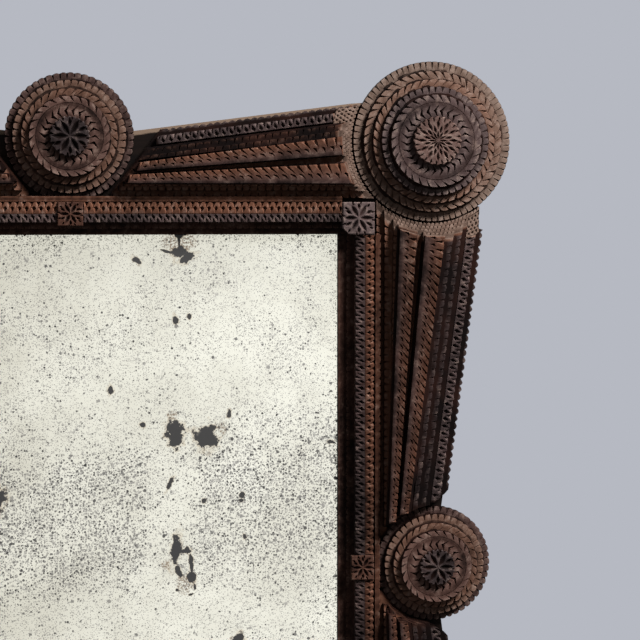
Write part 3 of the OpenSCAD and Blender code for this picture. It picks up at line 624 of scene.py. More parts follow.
# Rows of a chevron ring from its foot at the bore: share of the way out, 1 where the cuts have
# their full width, 1 where they run ahead, depth of the scribed circle, and 0 at the foot.
CHEVRON_ROWS = ((0, 1, 0, 0, 0), (1, 1, 0, 0, 0), (1, 1, 0, 0.5, 1), (0.97, 1, 0, 0, 1), (0.9, 1, 0, 0, 1),
                (0.86, 0, 0, 0, 1), (0.52, 1, 1, 0, 1), (0.14, 0, 0, 0, 1), (0, 1, 0, 0, 1))


def chevron_ring(shell, x, z, radius, bore, level, tone):
    """The middle of a rosette's top disc: a scribed circle at its edge and a ring of chevrons,
    each cut deepest at its point, halfway across."""
    cuts = Notches(0, math.pi * (radius + bore), CHEVRON, ring=True)
    share, wide, ahead, groove, face = np.array(CHEVRON_ROWS).T[:, :, None]
    turn = cuts.at / (radius + bore) * 2
    middle = np.repeat(turn.reshape(-1, COLUMNS)[:, 3], COLUMNS)
    narrow = middle + CHEVRON_END * (turn - middle)
    angle = wide * turn + (1 - wide) * narrow + CHEVRON_LEAD * 2 / (radius + bore) * ahead
    deep = groove + CHEVRON_DEPTH * ahead * cuts.valley
    r = bore + share * (radius - bore) + 0 * angle
    h = FRONT + level * LAYER + face * CARVED - deep
    wear = np.where(deep > 0.1, 0.0, tone.flat) + 0.35 * ahead * (1 - cuts.valley)
    shell.tube(round_about(x, z, r, angle, h), tone.over(wear), ring=True)


def star_depth(u, v, radius, leaves, depth):
    """Depth of a chip-carved star: leaf-shaped cuts along spokes, each a V that is widest and
    deepest halfway. Leaves are rings of a count, a turn in spokes, a start and an end as shares
    of the radius, and the greatest half width as a share of it."""
    r, angle = np.hypot(u, v) / radius, np.arctan2(v, u)
    cut = np.zeros_like(r)
    for count, turn, start, stop, half in leaves:
        spoke = count * angle / (2 * math.pi) + turn
        off = np.abs(spoke - np.round(spoke)) * 2 * math.pi / count * r
        wide = half * np.sin(math.pi * np.clip((r - start) / (stop - start), 0, 1))
        cut = np.maximum(cut, depth * (wide - off) / half)
    return cut


SIX_PETALS = ((6, 0.0, 0.04, 0.98, 0.17), (6, 0.5, 0.5, 1.0, 0.12), (12, 0.25, 0.8, 1.15, 0.07))
TWELVE_PETALS = ((12, 0.0, 0.05, 0.42, 0.055), (12, 0.5, 0.3, 0.66, 0.065), (12, 0.0, 0.48, 0.9, 0.08),
                 (24, 0.25, 0.8, 1.08, 0.04))
BUTTON_CUT, BLOCK_CUT = 2.2, 2.4

# A button: pitch, bite and drop of the nicks in its edge, crown of its face and drop of its edge, and
# the columns and rows of its grid.
NICK_PITCH, NICK_BITE, NICK_DROP = 4.2, 0.7, 0.8
CROWN, EDGE_DROP = 0.5, 1.2
FEW_PETAL_COLUMNS, MANY_PETAL_COLUMNS, BUTTON_ROWS = 28, 16, 21


def button(shell, x, z, radius, level, petals, tone):
    """The top disc of a rosette: a polar grid with a nicked edge, slightly crowned, with a
    star cut in its face; it closes on a pin hole at its middle."""
    columns = petals * (MANY_PETAL_COLUMNS if petals > 6 else FEW_PETAL_COLUMNS)
    angle = 2 * math.pi * np.arange(columns) / columns
    nicks = 2 * petals * max(1, round(math.pi * radius / NICK_PITCH / petals))
    nick = 0.5 - 0.5 * np.cos(angle * nicks)
    rim = radius - NICK_BITE * nick
    share = np.concatenate([np.linspace(0.96, 0.06, BUTTON_ROWS), [0.01]])[:, None]
    face = share * rim
    leaves = SIX_PETALS if petals == 6 else TWELVE_PETALS
    cut = star_depth(face * np.cos(angle), face * np.sin(angle), 0.95 * radius, leaves, BUTTON_CUT)
    edge = CARVED - EDGE_DROP - NICK_DROP * nick
    r = np.concatenate([[0.01 * rim], [rim], [rim], face])
    h = np.concatenate([[0 * rim], [0 * rim], [edge], CARVED - CROWN * share ** 2 - cut])
    wear = np.concatenate([[0 * rim], [0 * rim], [0.7 - 0.6 * nick], tone.flat + 0.35 - 0.22 * cut])
    shell.tube(round_about(x, z, r, angle, FRONT + level * LAYER + h), tone.over(wear), ring=True)


# How far a disc runs in under the one on it, and what is trimmed off its radius.
DISC_LAP, DISC_TRIM = 3.0, 0.05


class Rosette(NamedTuple):
    """A stack of notched discs under a star button, the top disc with chevrons round it inside
    a share of the rosette's radius."""
    radius: float
    shares: tuple
    carves: tuple
    tones: tuple
    petals: int
    chevrons: float

    def build(self, name, x, z):
        """Make the piece: each disc is bored as far in as a lap under the one on it."""
        shell = Shell()
        sizes = [self.radius * share - DISC_TRIM for share in self.shares]
        last, inner = len(self.carves) - 1, self.chevrons * self.radius
        for level, carve in enumerate(self.carves):
            bore = inner if level == last else sizes[level + 1] - DISC_LAP
            disc(shell, x, z, sizes[level], level, carve, self.tones[level], bore)
        chevron_ring(shell, x, z, inner, sizes[-1] - DISC_LAP, last, self.tones[last])
        button(shell, x, z, sizes[-1], last + 1, self.petals, self.tones[-1])
        shell.build(name, "rosette_wood", patina)


CORNER = Rosette(radius=CORNER_R, shares=(1, 0.88, 0.775, 0.68, 0.575, 0.305),
                 carves=(RADIAL, LEAN_DOWN, LEAN_UP, BLOCKY, FACE_LEAN),
                 tones=(Tone(0.95, 0.35, 0.3, 0.86), Tone(0.8, 0.28, 0.22, 0.88), Tone(0.72, 0.25, 0.2, 0.86),
                        Tone(0.1, 0.3, 0.15, 0.74), Tone(0.12, 0.3, 0.42, 0.74), Tone(0.22, 0.35, 0.4, 0.75)),
                 petals=12, chevrons=0.48)
MIDDLE = Rosette(radius=SIDE_MIDDLE_R, shares=(1, 0.88, 0.745, 0.625, 0.31),
                 carves=(BLOCKY, BLOCKY, LEAN_UP, FACE_LEAN),
                 tones=(Tone(0.2, 0.3, 0.2, 0.62), Tone(0.75, 0.25, 0.3, 0.78), Tone(0.7, 0.15, 0.2, 0.7),
                        Tone(0.25, 0.2, 0.4, 0.75), Tone(0.0, 0.7, 0.1, 0.6)),
                 petals=6, chevrons=0.52)


def strip(shell, side, s0, s1, t0, t1, level, thick, carves, tone):
    """A straight moulding strip between two distances from the sight edge, as thick as a share
    of a layer: two notched halves that meet at its middle line."""
    middle = (t0 + t1) / 2
    for edge, carve, inward in ((t0, carves[0], 1), (t1, carves[1], -1)):
        cuts = Notches(s0, s1, carve, STRIP_LAND)
        station, distance, height = cuts.rows(CUT_SHARE * (middle - t0))
        centre = 0 * cuts.at[None] + middle
        s = np.clip(np.concatenate([cuts.at[None], station, cuts.at[None]]), s0, s1)
        t = np.concatenate([centre, edge + inward * distance, centre])
        h = FRONT + level * LAYER + thick * np.concatenate([0 * centre, height, 0 * centre + CARVED])
        shell.tube(side.place(s, t, h, inset=0.0), cuts.finish(tone))


class Moulding(NamedTuple):
    """The sight moulding of a side: half lengths of the lip, of its row of beads and of the strips
    on it, width of the lip that shows and of the top strip, how far the lip stands over the
    plate, gap and cuts of the zigzag strip's plain edge, and how worn the zigzag strip, the top
    strip and that edge are."""
    half_lip: float
    half_beads: float
    half: float
    lip: float
    cap: float
    over: float
    gap: float
    edge_cut: Carve
    zigzag_land: float
    cap_land: float
    edge_land: float


LEVEL_MOULDING = Moulding(half_lip=SIGHT_X + RAIL_W, half_beads=SIGHT_X + RAIL_W, half=SIGHT_X - BLOCK_GAP,
                          lip=10.0, cap=9.0, over=0.0, gap=0.1, edge_cut=PLAIN,
                          zigzag_land=0.5, cap_land=0.66, edge_land=0.62)
UPRIGHT_MOULDING = Moulding(half_lip=SIGHT_Z, half_beads=SIGHT_Z + BEAD_LINE, half=SIGHT_Z - BLOCK_GAP,
                            lip=10.8, cap=7.2, over=2.0, gap=0.8, edge_cut=LEDGE,
                            zigzag_land=0.4, cap_land=0.46, edge_land=0.46)


def moulding_pieces(name, side, mould):
    """Lip with a row of beads set back on it, zigzag strip with its plain edge and two lengths
    of top strip on one side of the sight opening."""
    lip, run = Shell(), Shell()
    grey, red = GREY._replace(land=mould.zigzag_land), RED._replace(land=mould.cap_land)
    edge = EDGE._replace(land=mould.edge_land)
    strip(lip, side, -mould.half_lip, mould.half_lip, -mould.over, RAIL_W, 0, 0.5, (PLAIN, PLAIN), LIP)
    strip(lip, side, -mould.half_beads, mould.half_beads, BEAD_LINE, RAIL_W, 0.5, 0.5, (SMALL, PLAIN), LIP)
    half, wide = mould.half, RAIL_W - mould.cap - mould.lip

    def on_rail(s, q, h):
        return side.place(s, mould.lip + q * wide, h, inset=0.0)
    chip_band(run, on_rail, -half, half, FRONT + LAYER, RAIL_ZIGZAG, (grey, grey, edge),
              ((1.02, CARVED), (1 + mould.cap / wide, CARVED)), ZIGZAG_RISE)
    inner = RAIL_W + mould.gap
    strip(run, side, -half, half, inner, inner + PLAIN_EDGE, 1, 1 + ZIGZAG_RISE / CARVED,
          (PLAIN, mould.edge_cut), edge)

    def on_cap(s, q, h):
        return side.place(s, RAIL_W - q * mould.cap, h, inset=0.0)
    beside_block = BLOCK_W / 2 + BLOCK_GAP
    for s0, s1 in ((-half, -beside_block), (beside_block, half)):
        chip_band(run, on_cap, s0, s1, FRONT + 2 * LAYER, CAP, (red, red))
    lip.build(f"sight_lip_{name}", "base_wood", patina)
    run.build(f"moulding_{name}", "moulding_wood", patina)


BLOCK_ROWS, BLOCK_ROUND = 40, 0.5


def star_block(shell, x, z, wide, high, foot, top, tone, chamfer=0.0):
    """A block with a compass star in its face: a square grid whose border is carried down to
    its foot and closed under it, with the corner nearest the middle of the frame drawn back to
    a chamfer."""
    share = np.concatenate([[0, 0], np.linspace(0.03, 0.97, BLOCK_ROWS), [1, 1]]) - 0.5
    u, v = np.meshgrid(wide * share, high * share, indexing="ij")
    cut = star_depth(u, v, 0.5 * min(wide, high), SIX_PETALS, BLOCK_CUT)
    rim = np.minimum(wide / 2 - np.abs(u), high / 2 - np.abs(v))
    h = top - cut - np.clip(BLOCK_ROUND - rim, 0, BLOCK_ROUND)
    wear = tone.flat + 0.3 - 0.22 * cut
    short = np.maximum(0, chamfer - (wide / 2 + u) - (high / 2 + v)) / 2
    u, v = u + short, v + short
    border = np.ones_like(u, bool)
    border[1:-1, 1:-1] = False
    h, wear = np.where(border, foot, h), np.where(border, 0, wear)
    points = np.stack([x + math.copysign(1, x) * u, -h, z + math.copysign(1, z) * v], -1)
    here = np.arange(u.size).reshape(u.shape)
    quads = np.stack([here[:-1, :-1], here[1:, :-1], here[1:, 1:], here[:-1, 1:]], -1).reshape(-1, 4)
    loop = np.concatenate([here[0, :-1], here[:-1, -1], here[-1, :0:-1], here[:0:-1, 0]])
    under = np.stack([loop, np.roll(loop, -1), np.full_like(loop, u.size)], -1)
    points = np.concatenate([points.reshape(-1, 3), [[x, -foot, z]]])
    wear = np.append(wear.ravel(), 0)
    shell.put(points, tone.over(wear), quads, under)


CORNER_BLOCK, MIDDLE_BLOCK = Tone(0.1, 0.3, 0.4), Tone(0.35, 0.25, 0.15)
CORNER_BLOCK_H, MIDDLE_BLOCK_H = 2.2 * LAYER, 1.3 * LAYER
BLOCK_CHAMFER, BLOCK_DEEP = 0.22 * RAIL_W, 0.72 * RAIL_W


def block_pieces():
    """Star blocks at the corners of the sight moulding and small ones at the middles of its sides."""
    corners, middles = Shell(), Shell()
    near, foot = RAIL_W / 2, FRONT + LAYER
    for sx in (-1, 1):
        for sz in (-1, 1):
            star_block(corners, sx * (SIGHT_X + near), sz * (SIGHT_Z + near), RAIL_W, RAIL_W, foot,
                       foot + CORNER_BLOCK_H, CORNER_BLOCK, BLOCK_CHAMFER)
    off, foot = RAIL_W - BLOCK_DEEP / 2, FRONT + 2 * LAYER
    top = foot + MIDDLE_BLOCK_H
    for s in (-1, 1):
        star_block(middles, 0, s * (SIGHT_Z + off), BLOCK_W, BLOCK_DEEP, foot, top, MIDDLE_BLOCK)
        star_block(middles, s * (SIGHT_X + off), 0, BLOCK_DEEP, BLOCK_W, foot, top, MIDDLE_BLOCK)
    corners.build("corner_blocks", "moulding_wood", patina)
    middles.build("middle_blocks", "moulding_wood", patina)


class Wire:
    """A node's output that takes part in Python arithmetic: each operation adds a Math node."""

    def __init__(self, nodes, socket):
        self.nodes, self.socket = nodes, socket

    def math(self, operation, one, two):
        """A Math node on two values or wires."""
        return self.nodes.node("ShaderNodeMath", {"operation": operation}, {0: one, 1: two})

    def __add__(self, other):
        return self.math("ADD", self, other)

    def __sub__(self, other):
        return self.math("SUBTRACT", self, other)

    def __rsub__(self, other):
        return self.math("SUBTRACT", other, self)

    def __mul__(self, other):
        return self.math("MULTIPLY", self, other)

    __radd__, __rmul__ = __add__, __mul__

    def most(self, other):
        """The larger of two values."""
        return self.math("MAXIMUM", self, other)

    def size(self):
        """The value without its sign."""
        return self.math("ABSOLUTE", self, 0.0)

    def output(self, which):
        """Another output of the same node, by its place or its name."""
        return Wire(self.nodes, self.socket.node.outputs[which])


class Nodes:
    """A node tree, with one method that makes any node."""

    def __init__(self, tree):
        self.tree = tree

    def node(self, kind, settings, inputs, output=0):
        """Add a node: its settings first, then the values or wires of its sockets."""
        made = self.tree.nodes.new(kind)
        for key, value in settings.items():
            setattr(made, key, value)
        for key, value in inputs.items():
            self.feed(made.inputs[key], value)
        return Wire(self, made.outputs[output])

    def feed(self, socket, value):
        """Link a wire to a socket, or set the socket's own value."""
        if isinstance(value, Wire):
            self.tree.links.new(value.socket, socket)
        else:
            socket.default_value = value

    def noise(self, where, scale, detail, rough=0.55):
        """Cloudy noise, from 0 to 1."""
        return self.node("ShaderNodeTexNoise", {}, {"Vector": where, "Scale": scale, "Detail": detail,
                                                    "Roughness": rough})

    def step(self, value, low, high):
        """Smooth step of a value from low to high."""
        return self.node("ShaderNodeMapRange", {"interpolation_type": "SMOOTHSTEP"},
                         {"Value": value, "From Min": low, "From Max": high})

    def mix(self, amount, one, two):
        """Blend of two colours."""
        return self.node("ShaderNodeMix", {"data_type": "RGBA"}, {0: amount, 6: one, 7: two}, 2)


class Paint(Nodes):
    """A material's nodes, with the patterns that the finishes are made of."""

    def __init__(self, name):
        self.material = bpy.data.materials.new(name)
        self.material.use_nodes = True
        super().__init__(self.material.node_tree)

    def place(self):
        """Object coordinates."""
        return self.node("ShaderNodeTexCoord", {}, {}, "Object")

    def spot(self, scale=(1, 1, 1), turn=(0, 0, 0)):
        """Object coordinates, scaled and turned."""
        return self.node("ShaderNodeMapping", {"vector_type": "POINT"},
                         {"Vector": self.place(), "Scale": scale, "Rotation": turn})

    def dots(self, scale, crowd, small, big):
        """Ragged specks on the plane of the glass, one to a cell of a Voronoi pattern, kept where
        the cell's own random number is under the crowding, with radii in cells; some are faint."""
        flat = self.spot(turn=(math.pi / 2, 0, 0))
        ragged = self.noise(flat, 1.6 * scale, 2.0).output("Color")
        flat = self.node("ShaderNodeVectorMath", {"operation": "MULTIPLY_ADD"},
                         {0: ragged, 1: (0.7 / scale,) * 3, 2: flat})
        cell = self.node("ShaderNodeTexVoronoi", {"voronoi_dimensions": "2D"},
                         {"Vector": flat, "Scale": scale})
        chance = self.node("ShaderNodeSeparateColor", {}, {0: cell.output("Color")})
        radius = small + (big - small) * chance.output("Green")
        kept = self.step(radius - cell, -0.05, 0.05) * self.step(crowd - chance, 0.0, 0.03)
        return kept * (0.35 + 0.65 * chance.output("Blue"))

    def bump(self, height, strength, distance):
        """A height as a normal."""
        return self.node("ShaderNodeBump", {}, {"Height": height, "Strength": strength, "Distance": distance})

    def set(self, **inputs):
        """Feed the shader's sockets, named with underscores; returns the material."""
        for key, value in inputs.items():
            self.feed(self.tree.nodes["Principled BSDF"].inputs[key.replace("_", " ")], value)
        return self.material


def rgb(r, g, b):
    """A linear colour from display values of 0 to 255."""
    shown = [v / 255 for v in (r, g, b)]
    return *((v / 12.92 if v < 0.0404 else ((v + 0.055) / 1.055) ** 2.4) for v in shown), 1


def patina_paint():
    """Stained and waxed box wood: grime in the notches and painted shade on the flats that are given no wear,
    rubbed wood on the lands, dust on the arrises, all broken up by blotches and flecks. The piece's own
    finish gives its wear, its hue from purple grey through red brown to ochre, and its dust."""
    # The darkest stain is grime in the notches and painted shade on flats that are given no wear.
    grime_and_shade, brown, pale, settled = rgb(13, 9, 9), rgb(34, 20, 17), rgb(142, 120, 109), rgb(136, 126, 120)
    purple_grey, red_brown, ochre = rgb(84, 74, 75), rgb(109, 73, 57), rgb(110, 92, 82)
    paint = Paint("carved_patina")
    finish = paint.node("ShaderNodeAttribute", {"attribute_name": "finish"}, {})
    wear = paint.node("ShaderNodeSeparateColor", {}, {0: finish})
    hue, dust = wear.output("Green"), wear.output("Blue")
    where = paint.spot()
    blotch = paint.noise(where, 24.0, 3.0)
    fleck = paint.noise(where, 170.0, 3.0, 0.65)
    fine = paint.noise(where, 800.0, 3.0, 0.7)
    worn = paint.step(wear + (blotch - 0.5) * 0.5 + (fleck - 0.5) * 0.7, 0.1, 1.0)
    stain_and_shade = paint.mix(paint.step(blotch, 0.35, 0.65), grime_and_shade, brown)
    rubbed = paint.mix(paint.step(hue, 0.0, 0.5), purple_grey, red_brown)
    rubbed = paint.mix(paint.step(hue, 0.5, 1.0), rubbed, ochre)
    rubbed = paint.mix(paint.step(fleck, 0.5, 0.75) * 0.5, rubbed, pale)
    colour = paint.mix(worn, stain_and_shade, rubbed)
    dusty = paint.step(wear + (fleck - 0.5) * 1.2 + (fine - 0.5) * 0.7, 0.5, 1.2) * (dust * 0.85 + 0.04)
    return paint.set(Base_Color=paint.mix(dusty, colour, settled),
                     Roughness=0.66 - 0.12 * worn + 0.2 * (fine - 0.5), Specular_IOR_Level=0.02,
                     Normal=paint.bump(fine * 0.5 + fleck, 0.35, 0.0006))


RUBBED_RIM = rgb(122, 104, 90)
RIM_STARTS, RIM_FULL = 4.2 * MM, 2.6 * MM


def board_paint(name, dark, pale, stretch, rough, back=None, rim=0.0):
    """Plain boards: streaks of grain along the axis whose stretch is the smallest, with blotches;
    a board may have another colour on its back, and one with a rim is rubbed pale along its
    sloping outer edge, as far out as that."""
    paint = Paint(name)
    grain = paint.noise(paint.spot(scale=stretch), 60.0, 5.0, 0.6)
    fine = paint.noise(paint.spot(scale=stretch), 420.0, 2.0, 0.6)
    blotch = paint.noise(paint.spot(), 9.0, 3.0)
    tone = paint.step(grain + (blotch - 0.5) * 0.6, 0.3, 0.72)
    colour = paint.mix(tone, dark, pale)
    x = paint.node("ShaderNodeSeparateXYZ", {}, {0: paint.place()})
    y, z = x.output("Y"), x.output("Z")
    if back:
        behind = paint.step(y, -(BACK + 0.8) * MM, -(BACK + 0.2) * MM)
        colour = paint.mix(behind * (0.4 + 0.6 * tone), colour, back)
    if rim:
        reach = z.size() - FLARE * x.size() + (fine - 0.5) * 0.002
        colour = paint.mix(paint.step(reach, rim - RIM_STARTS, rim - RIM_FULL) * 0.9, colour, RUBBED_RIM)
    return paint.set(Base_Color=colour, Roughness=rough + 0.2 * (fine - 0.5),
                     Specular_IOR_Level=0.05, Normal=paint.bump(grain + fine * 0.4, 0.3, 0.0006))


def iron_paint():
    """Dull iron with a bloom of rust."""
    paint = Paint("hanger_iron")
    bloom = paint.noise(paint.spot(), 180.0, 4.0, 0.65)
    rust = paint.step(bloom, 0.48, 0.68)
    return paint.set(Base_Color=paint.mix(rust, rgb(88, 86, 84), rgb(96, 62, 42)), Metallic=1 - 0.85 * rust,
                     Roughness=0.42 + 0.35 * rust, Normal=paint.bump(bloom, 0.3, 0.0004))


# Islands of lost silver and browned patches on the plate: centre across and up, half sizes and tilt.
LOST_SILVER = ((86.6, 256.6, 5.4, 4, 0), (93.8, 253.6, 8, 4, -0.3), (87.6, 260, 2.4, 2.8, 0),
               (86.6, 266, 1.1, 5, 0), (87.3, 272, 4.4, 3, 0), (76.2, 258.4, 6.4, 1, 0.29),
               (53.1, 251, 4.6, 2.4, 0.65),
               (82.6, 114.6, 8.2, 6.4, 0.2), (84, 107, 5.5, 8, 0), (109, 107.5, 9.5, 9, 0),
               (82.3, 16, 4.6, 13.2, 0.1), (85, -1.5, 2.4, 5.2, -0.35), (90.5, 14.5, 5, 1.6, 0),
               (91.8, 15.5, 2, 2.6, 0), (95.4, 2.7, 1.5, 11, -0.06), (95.4, -5.6, 3.2, 4.2, 0),
               (98, -16, 1.2, 2.6, 0), (95.4, -20.8, 2.6, 1.2, -0.2), (83.5, -17, 1.2, 1.2, 0),
               (77.5, 69, 1.5, 6, 0.45), (105.5, 56, 2, 2.2, 0), (136.6, 59.5, 2.2, 2.2, 0),
               (135.8, 55.3, 1.5, 1.5, 0), (138.9, 26, 1.7, 2, 0), (126.5, 126.5, 1.9, 3, 0),
               (56.6, 118.5, 2, 2.6, 0), (210, 102, 3, 1.7, 0), (31, 147, 3, 4, 0), (83, 203, 2.2, 3.6, 0),
               (94.6, 206, 1.4, 2, 0), (133, -58, 5, 4, 0), (-60, 60, 7, 10, 0.3), (-130, 190, 6, 5, 0),
               (-150, -120, 9, 6, 0.4), (20, -205, 6, 12, 0.1), (165, -190, 8, 7, 0), (-40, -160, 5, 5, 0))
BROWNED = ((86.8, 266, 17, 8.5, 0), (81, 126, 5, 3.5, 0), (120, 115, 6, 5.5, 0), (89.7, -13, 8, 8.5, 0),
           (74, 4, 4, 4.5, 0))


def inside(paint, ellipses):
    """How far a point of the plate lies inside the nearest of some tilted ellipses: 1 at a centre
    and 0 at an edge."""
    plate, deepest = paint.place(), None
    for x, z, wide, high, turn in ellipses:
        spot = paint.node("ShaderNodeMapping", {"vector_type": "TEXTURE"},
                          {"Vector": plate, "Location": (x * MM, 0, z * MM), "Rotation": (0, turn, 0),
                           "Scale": (wide * MM, 1.0, high * MM)})
        depth = 1 - paint.node("ShaderNodeVectorMath", {"operation": "LENGTH"}, {0: spot}, "Value")
        deepest = depth if deepest is None else deepest.most(depth)
    return deepest


def silver_paint():
    """Old mirror plate: bright warm silvering, greyer towards the left and duller at the top edge, with
    fine black specks that gather in a slanting band, apart from a clear stripe, grey islands
    where the silver has lifted, and brown bloom round them."""
    bright, hazy, black = (0.95, 0.95, 0.92, 1), rgb(212, 210, 203), rgb(60, 60, 61)
    yellowed, browned = rgb(176, 150, 114), rgb(128, 106, 90)
    paint = Paint("old_silvering")
    where = paint.spot()
    x = paint.node("ShaderNodeSeparateXYZ", {}, {0: where})
    z = x.output("Z")
    ragged = 0.6 * paint.noise(where, 190.0, 4.0, 0.7) + 0.4 * paint.noise(where, 70.0, 2.0) - 0.5
    islands = inside(paint, LOST_SILVER)
    island = paint.step(islands + ragged * 4.2, 0.0, 0.08)
    bloom = paint.step(islands + ragged * 5.0, -0.6, 0.3)
    freckles = paint.step(paint.noise(where, 620.0, 2.0), 0.42, 0.6)
    freckles = freckles * paint.step(inside(paint, BROWNED) + ragged * 2.0, -0.1, 0.3)
    cloud = paint.noise(where, 9.0, 4.0, 0.65)
    drift = z - 0.1 * x + 0.09 * (cloud - 0.5)
    clear = paint.step(x, 0.05, 0.066) * paint.step(x, 0.108, 0.092)
    band = paint.step(drift, 0.112, 0.07) * paint.step(drift, -0.03, 0.02) * (1 - 0.8 * clear)
    patch = paint.step(paint.noise(where, 30.0, 3.0), 0.4, 0.65)
    fine = paint.dots(800.0, 0.5 + 0.3 * patch, 0.2, 0.46) * (0.7 + 0.2 * band)
    middling = paint.dots(480.0, 0.06 + 0.2 * patch + 0.74 * band, 0.2, 0.5)
    coarse = paint.dots(270.0, 0.03 + 0.05 * patch + 0.2 * band, 0.12, 0.42)
    # Cloudy haze, and the silver made greyer towards the left.
    haze_and_left_grey = paint.step(cloud, 0.36, 0.66) * 0.5 + 0.45 * paint.step(x, 0.14, -0.1)
    # The silver is duller along the top edge of the plate.
    dull = paint.step(z + 0.02 * (cloud - 0.5), 0.258, 0.272)
    lost = island.most(coarse).most(fine).most(middling)
    silver = paint.mix(haze_and_left_grey.most(0.6 * dull), bright, hazy)
    silver = paint.mix(bloom * 0.5, silver, yellowed)
    silver = paint.mix(freckles * 0.8, silver, browned)
    return paint.set(Base_Color=paint.mix(lost, silver, black), Metallic=1 - 0.9 * lost,
                     Roughness=0.06 + 0.08 * haze_and_left_grey + 0.4 * lost, Specular_IOR_Level=0.2)


patina = patina_paint()
for piece_name, sx, sz in (("top_right", 1, 1), ("top_left", -1, 1), ("bottom_right", 1, -1),
                           ("bottom_left", -1, -1)):
    panel_pieces(piece_name, Side(False, sx, sz), LEVEL)
    CORNER.build(f"corner_rosette_{piece_name}", sx * ROSETTE_X, sz * ROSETTE_Z)
for piece_name, sx, sz in (("right_upper", 1, 1), ("right_lower", 1, -1), ("left_upper", -1, 1),
                           ("left_lower", -1, -1)):
    panel_pieces(piece_name, Side(True, sx, sz), UPRIGHT)
for piece_name, sx, sz in (("top", 0, 1), ("bottom", 0, -1), ("right", 1, 0), ("left", -1, 0)):
    rosette = MIDDLE._replace(radius=SIDE_MIDDLE_R if sx else TOP_MIDDLE_R)
    rosette.build(f"middle_rosette_{piece_name}", sx * (SIGHT_X + MIDDLE_LINE), sz * (SIGHT_Z + MIDDLE_LINE))
for piece_name, sx, sz in (("top", 1, 1), ("bottom", 1, -1)):
    moulding_pieces(piece_name, Side(False, sx, sz), LEVEL_MOULDING)
for piece_name, sx, sz in (("right", 1, 1), ("left", -1, 1)):
    moulding_pieces(piece_name, Side(True, sx, sz), UPRIGHT_MOULDING)
block_pieces()

BOARD_OUT = 1.5
RIM = (SIGHT_Z + PANEL_IN + LEVEL.width + BOARD_OUT) * MM
# The boards' stain is near black: dark stain, and painted shade where the board shows in the recesses between
# the layers and beside the middle rosettes.
BLACK_STAIN_AND_SHADE, BROWN_STAIN_AND_SHADE, BARE = rgb(9, 7, 7), rgb(26, 18, 15), rgb(96, 74, 56)
ALONG_X, ALONG_Z = (0.12, 1, 1), (1, 1, 0.12)
level_boards = board_paint("stained_and_shaded_level_board", BLACK_STAIN_AND_SHADE, BROWN_STAIN_AND_SHADE, ALONG_X, 0.7, BARE, RIM)
upright_boards = board_paint("stained_and_shaded_upright_board", BLACK_STAIN_AND_SHADE, BROWN_STAIN_AND_SHADE, ALONG_Z, 0.7, BARE)
raw_boards = board_paint("raw_back_board", rgb(120, 92, 62), rgb(176, 144, 104), (0.1, 1, 1), 0.75)
peg_wood = board_paint("peg_wood", rgb(40, 30, 26), rgb(86, 66, 54), (1, 0.2, 1), 0.55)
iron = iron_paint()
FINISHES = {"top_rail": level_boards, "bottom_rail": level_boards, "left_stile": upright_boards,
            "right_stile": upright_boards, "mirror_glass": silver_paint(), "packing_panel": raw_boards,
            "back_planks": raw_boards, "rosette_pegs": peg_wood, "back_nails": iron, "hanger_screws": iron,
            "hanger_strap_left": iron, "hanger_strap_right": iron, "hanger_ring_left": iron,
            "hanger_ring_right": iron}
for node_name, material in FINISHES.items():
    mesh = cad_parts[node_name].data
    mesh.materials.clear()
    mesh.materials.append(material)


SURROUND, MIRRORED, ROOM_LIGHT = rgb(182, 185, 194), rgb(246, 245, 235), (0.064, 0.063, 0.065, 1)
FLOOR_Z, FLOOR_SIDE, FLOOR_BACK = -1.15, 30, 4


def facing(place, aim):
    """Turn of a lamp or a camera, which look down their own -Z, from a place to its aim."""
    away = np.subtract(place, aim)
    return math.atan2(math.hypot(away[0], away[1]), away[2]), 0, math.atan2(away[0], -away[1])


def set_up(name, data, place, aim):
    """Put an object into the scene at a place, turned to its aim."""
    made = bpy.data.objects.new(name, data)
    made.location = place
    made.rotation_euler = facing(place, aim)
    bpy.context.scene.collection.objects.link(made)
    return made


def light(name, place, aim, size, watts, colour):
    """A square soft box at a place, turned to its aim."""
    lamp = bpy.data.lights.new(name, "AREA")
    lamp.size, lamp.energy, lamp.color = size, watts, colour
    set_up(name, lamp, place, aim)


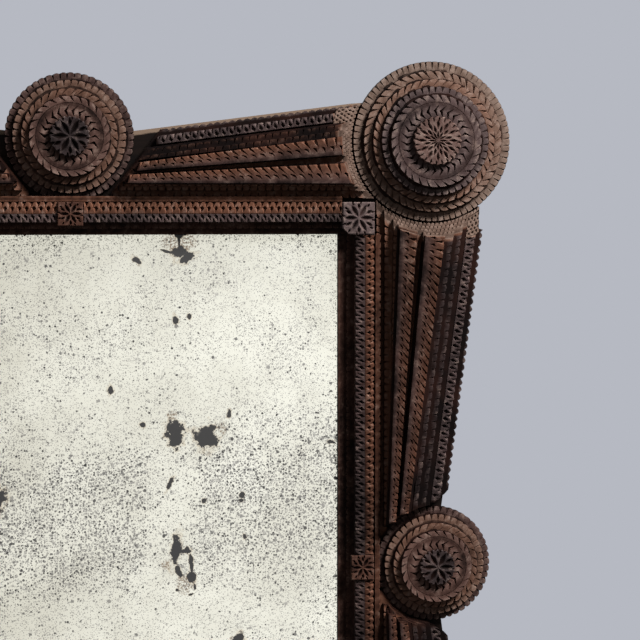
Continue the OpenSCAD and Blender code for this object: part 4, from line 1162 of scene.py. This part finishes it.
def pale_floor():
    """A floor that is pale to the eye, keeps the shadow, throws little light back and is as
    bright as the surround in the mirror."""
    seen, unseen, lit = rgb(124, 124, 125), rgb(70, 70, 72), rgb(167, 168, 171)
    corners = [(x, y, FLOOR_Z) for x, y in ((-FLOOR_SIDE, -FLOOR_SIDE), (FLOOR_SIDE, -FLOOR_SIDE),
                                            (FLOOR_SIDE, FLOOR_BACK), (-FLOOR_SIDE, FLOOR_BACK))]
    mesh = bpy.data.meshes.new("pale_floor")
    mesh.from_pydata(corners, [], [(0, 1, 2, 3)])
    paint = Paint("pale_floor")
    camera = paint.node("ShaderNodeLightPath", {}, {}, "Is Camera Ray")
    glow = paint.mix(camera, (0, 0, 0, 1), lit)
    paint.set(Base_Color=paint.mix(camera, unseen, seen), Roughness=0.8, Emission_Strength=1.0,
              Emission_Color=paint.mix(camera.output("Is Glossy Ray"), glow, MIRRORED))
    mesh.materials.append(paint.material)
    floor = bpy.data.objects.new("pale_floor", mesh)
    bpy.context.scene.collection.objects.link(floor)


def studio():
    """Soft key from the upper right, a weak fill from the left, a light behind and the floor."""
    light("key", (1.5, -1.22, 2.01), (0.15, 0, 0.15), size=0.7, watts=170, colour=(1, 0.97, 0.94))
    light("fill", (-1.6, -2.2, 0.6), (0, 0, 0), size=1.6, watts=4.5, colour=(0.95, 0.97, 1))
    light("back", (-0.8, 2.2, 1.2), (0, 0, 0), size=1.6, watts=70, colour=(1, 1, 1))
    pale_floor()


def surround():
    """World: a pale blue-grey seen by the camera, warm white in reflections, a plain soft
    level on the object."""
    world = bpy.data.worlds.new("surround")
    world.use_nodes = True
    bpy.context.scene.world = world
    nodes = Nodes(world.node_tree)
    camera = nodes.node("ShaderNodeLightPath", {}, {}, "Is Camera Ray")
    mirrored = camera.output("Is Glossy Ray").most(camera.output("Is Transmission Ray"))
    sky = nodes.mix(mirrored, nodes.mix(camera, ROOM_LIGHT, SURROUND), MIRRORED)
    nodes.feed(world.node_tree.nodes["Background"].inputs["Color"], sky)


FILM_W, PICTURE_PX, FOCAL_PX = 36, 640, 1829
CAMERA_PLACE, CAMERA_AIM = (-11.7, -1486.5, 299.4), (201.0, -14.5, 202.0)


def view_point():
    """Camera where the photograph was taken from: left of the middle, a little above, aimed
    at the upper right quarter."""
    lens = bpy.data.cameras.new("view")
    lens.sensor_fit, lens.sensor_width = "HORIZONTAL", FILM_W
    lens.lens = FILM_W * FOCAL_PX / PICTURE_PX
    place, aim = (np.array(point) * MM for point in (CAMERA_PLACE, CAMERA_AIM))
    bpy.context.scene.camera = set_up("view", lens, place, aim)


studio()
surround()
view_point()
bpy.context.scene.view_settings.view_transform = "Standard"
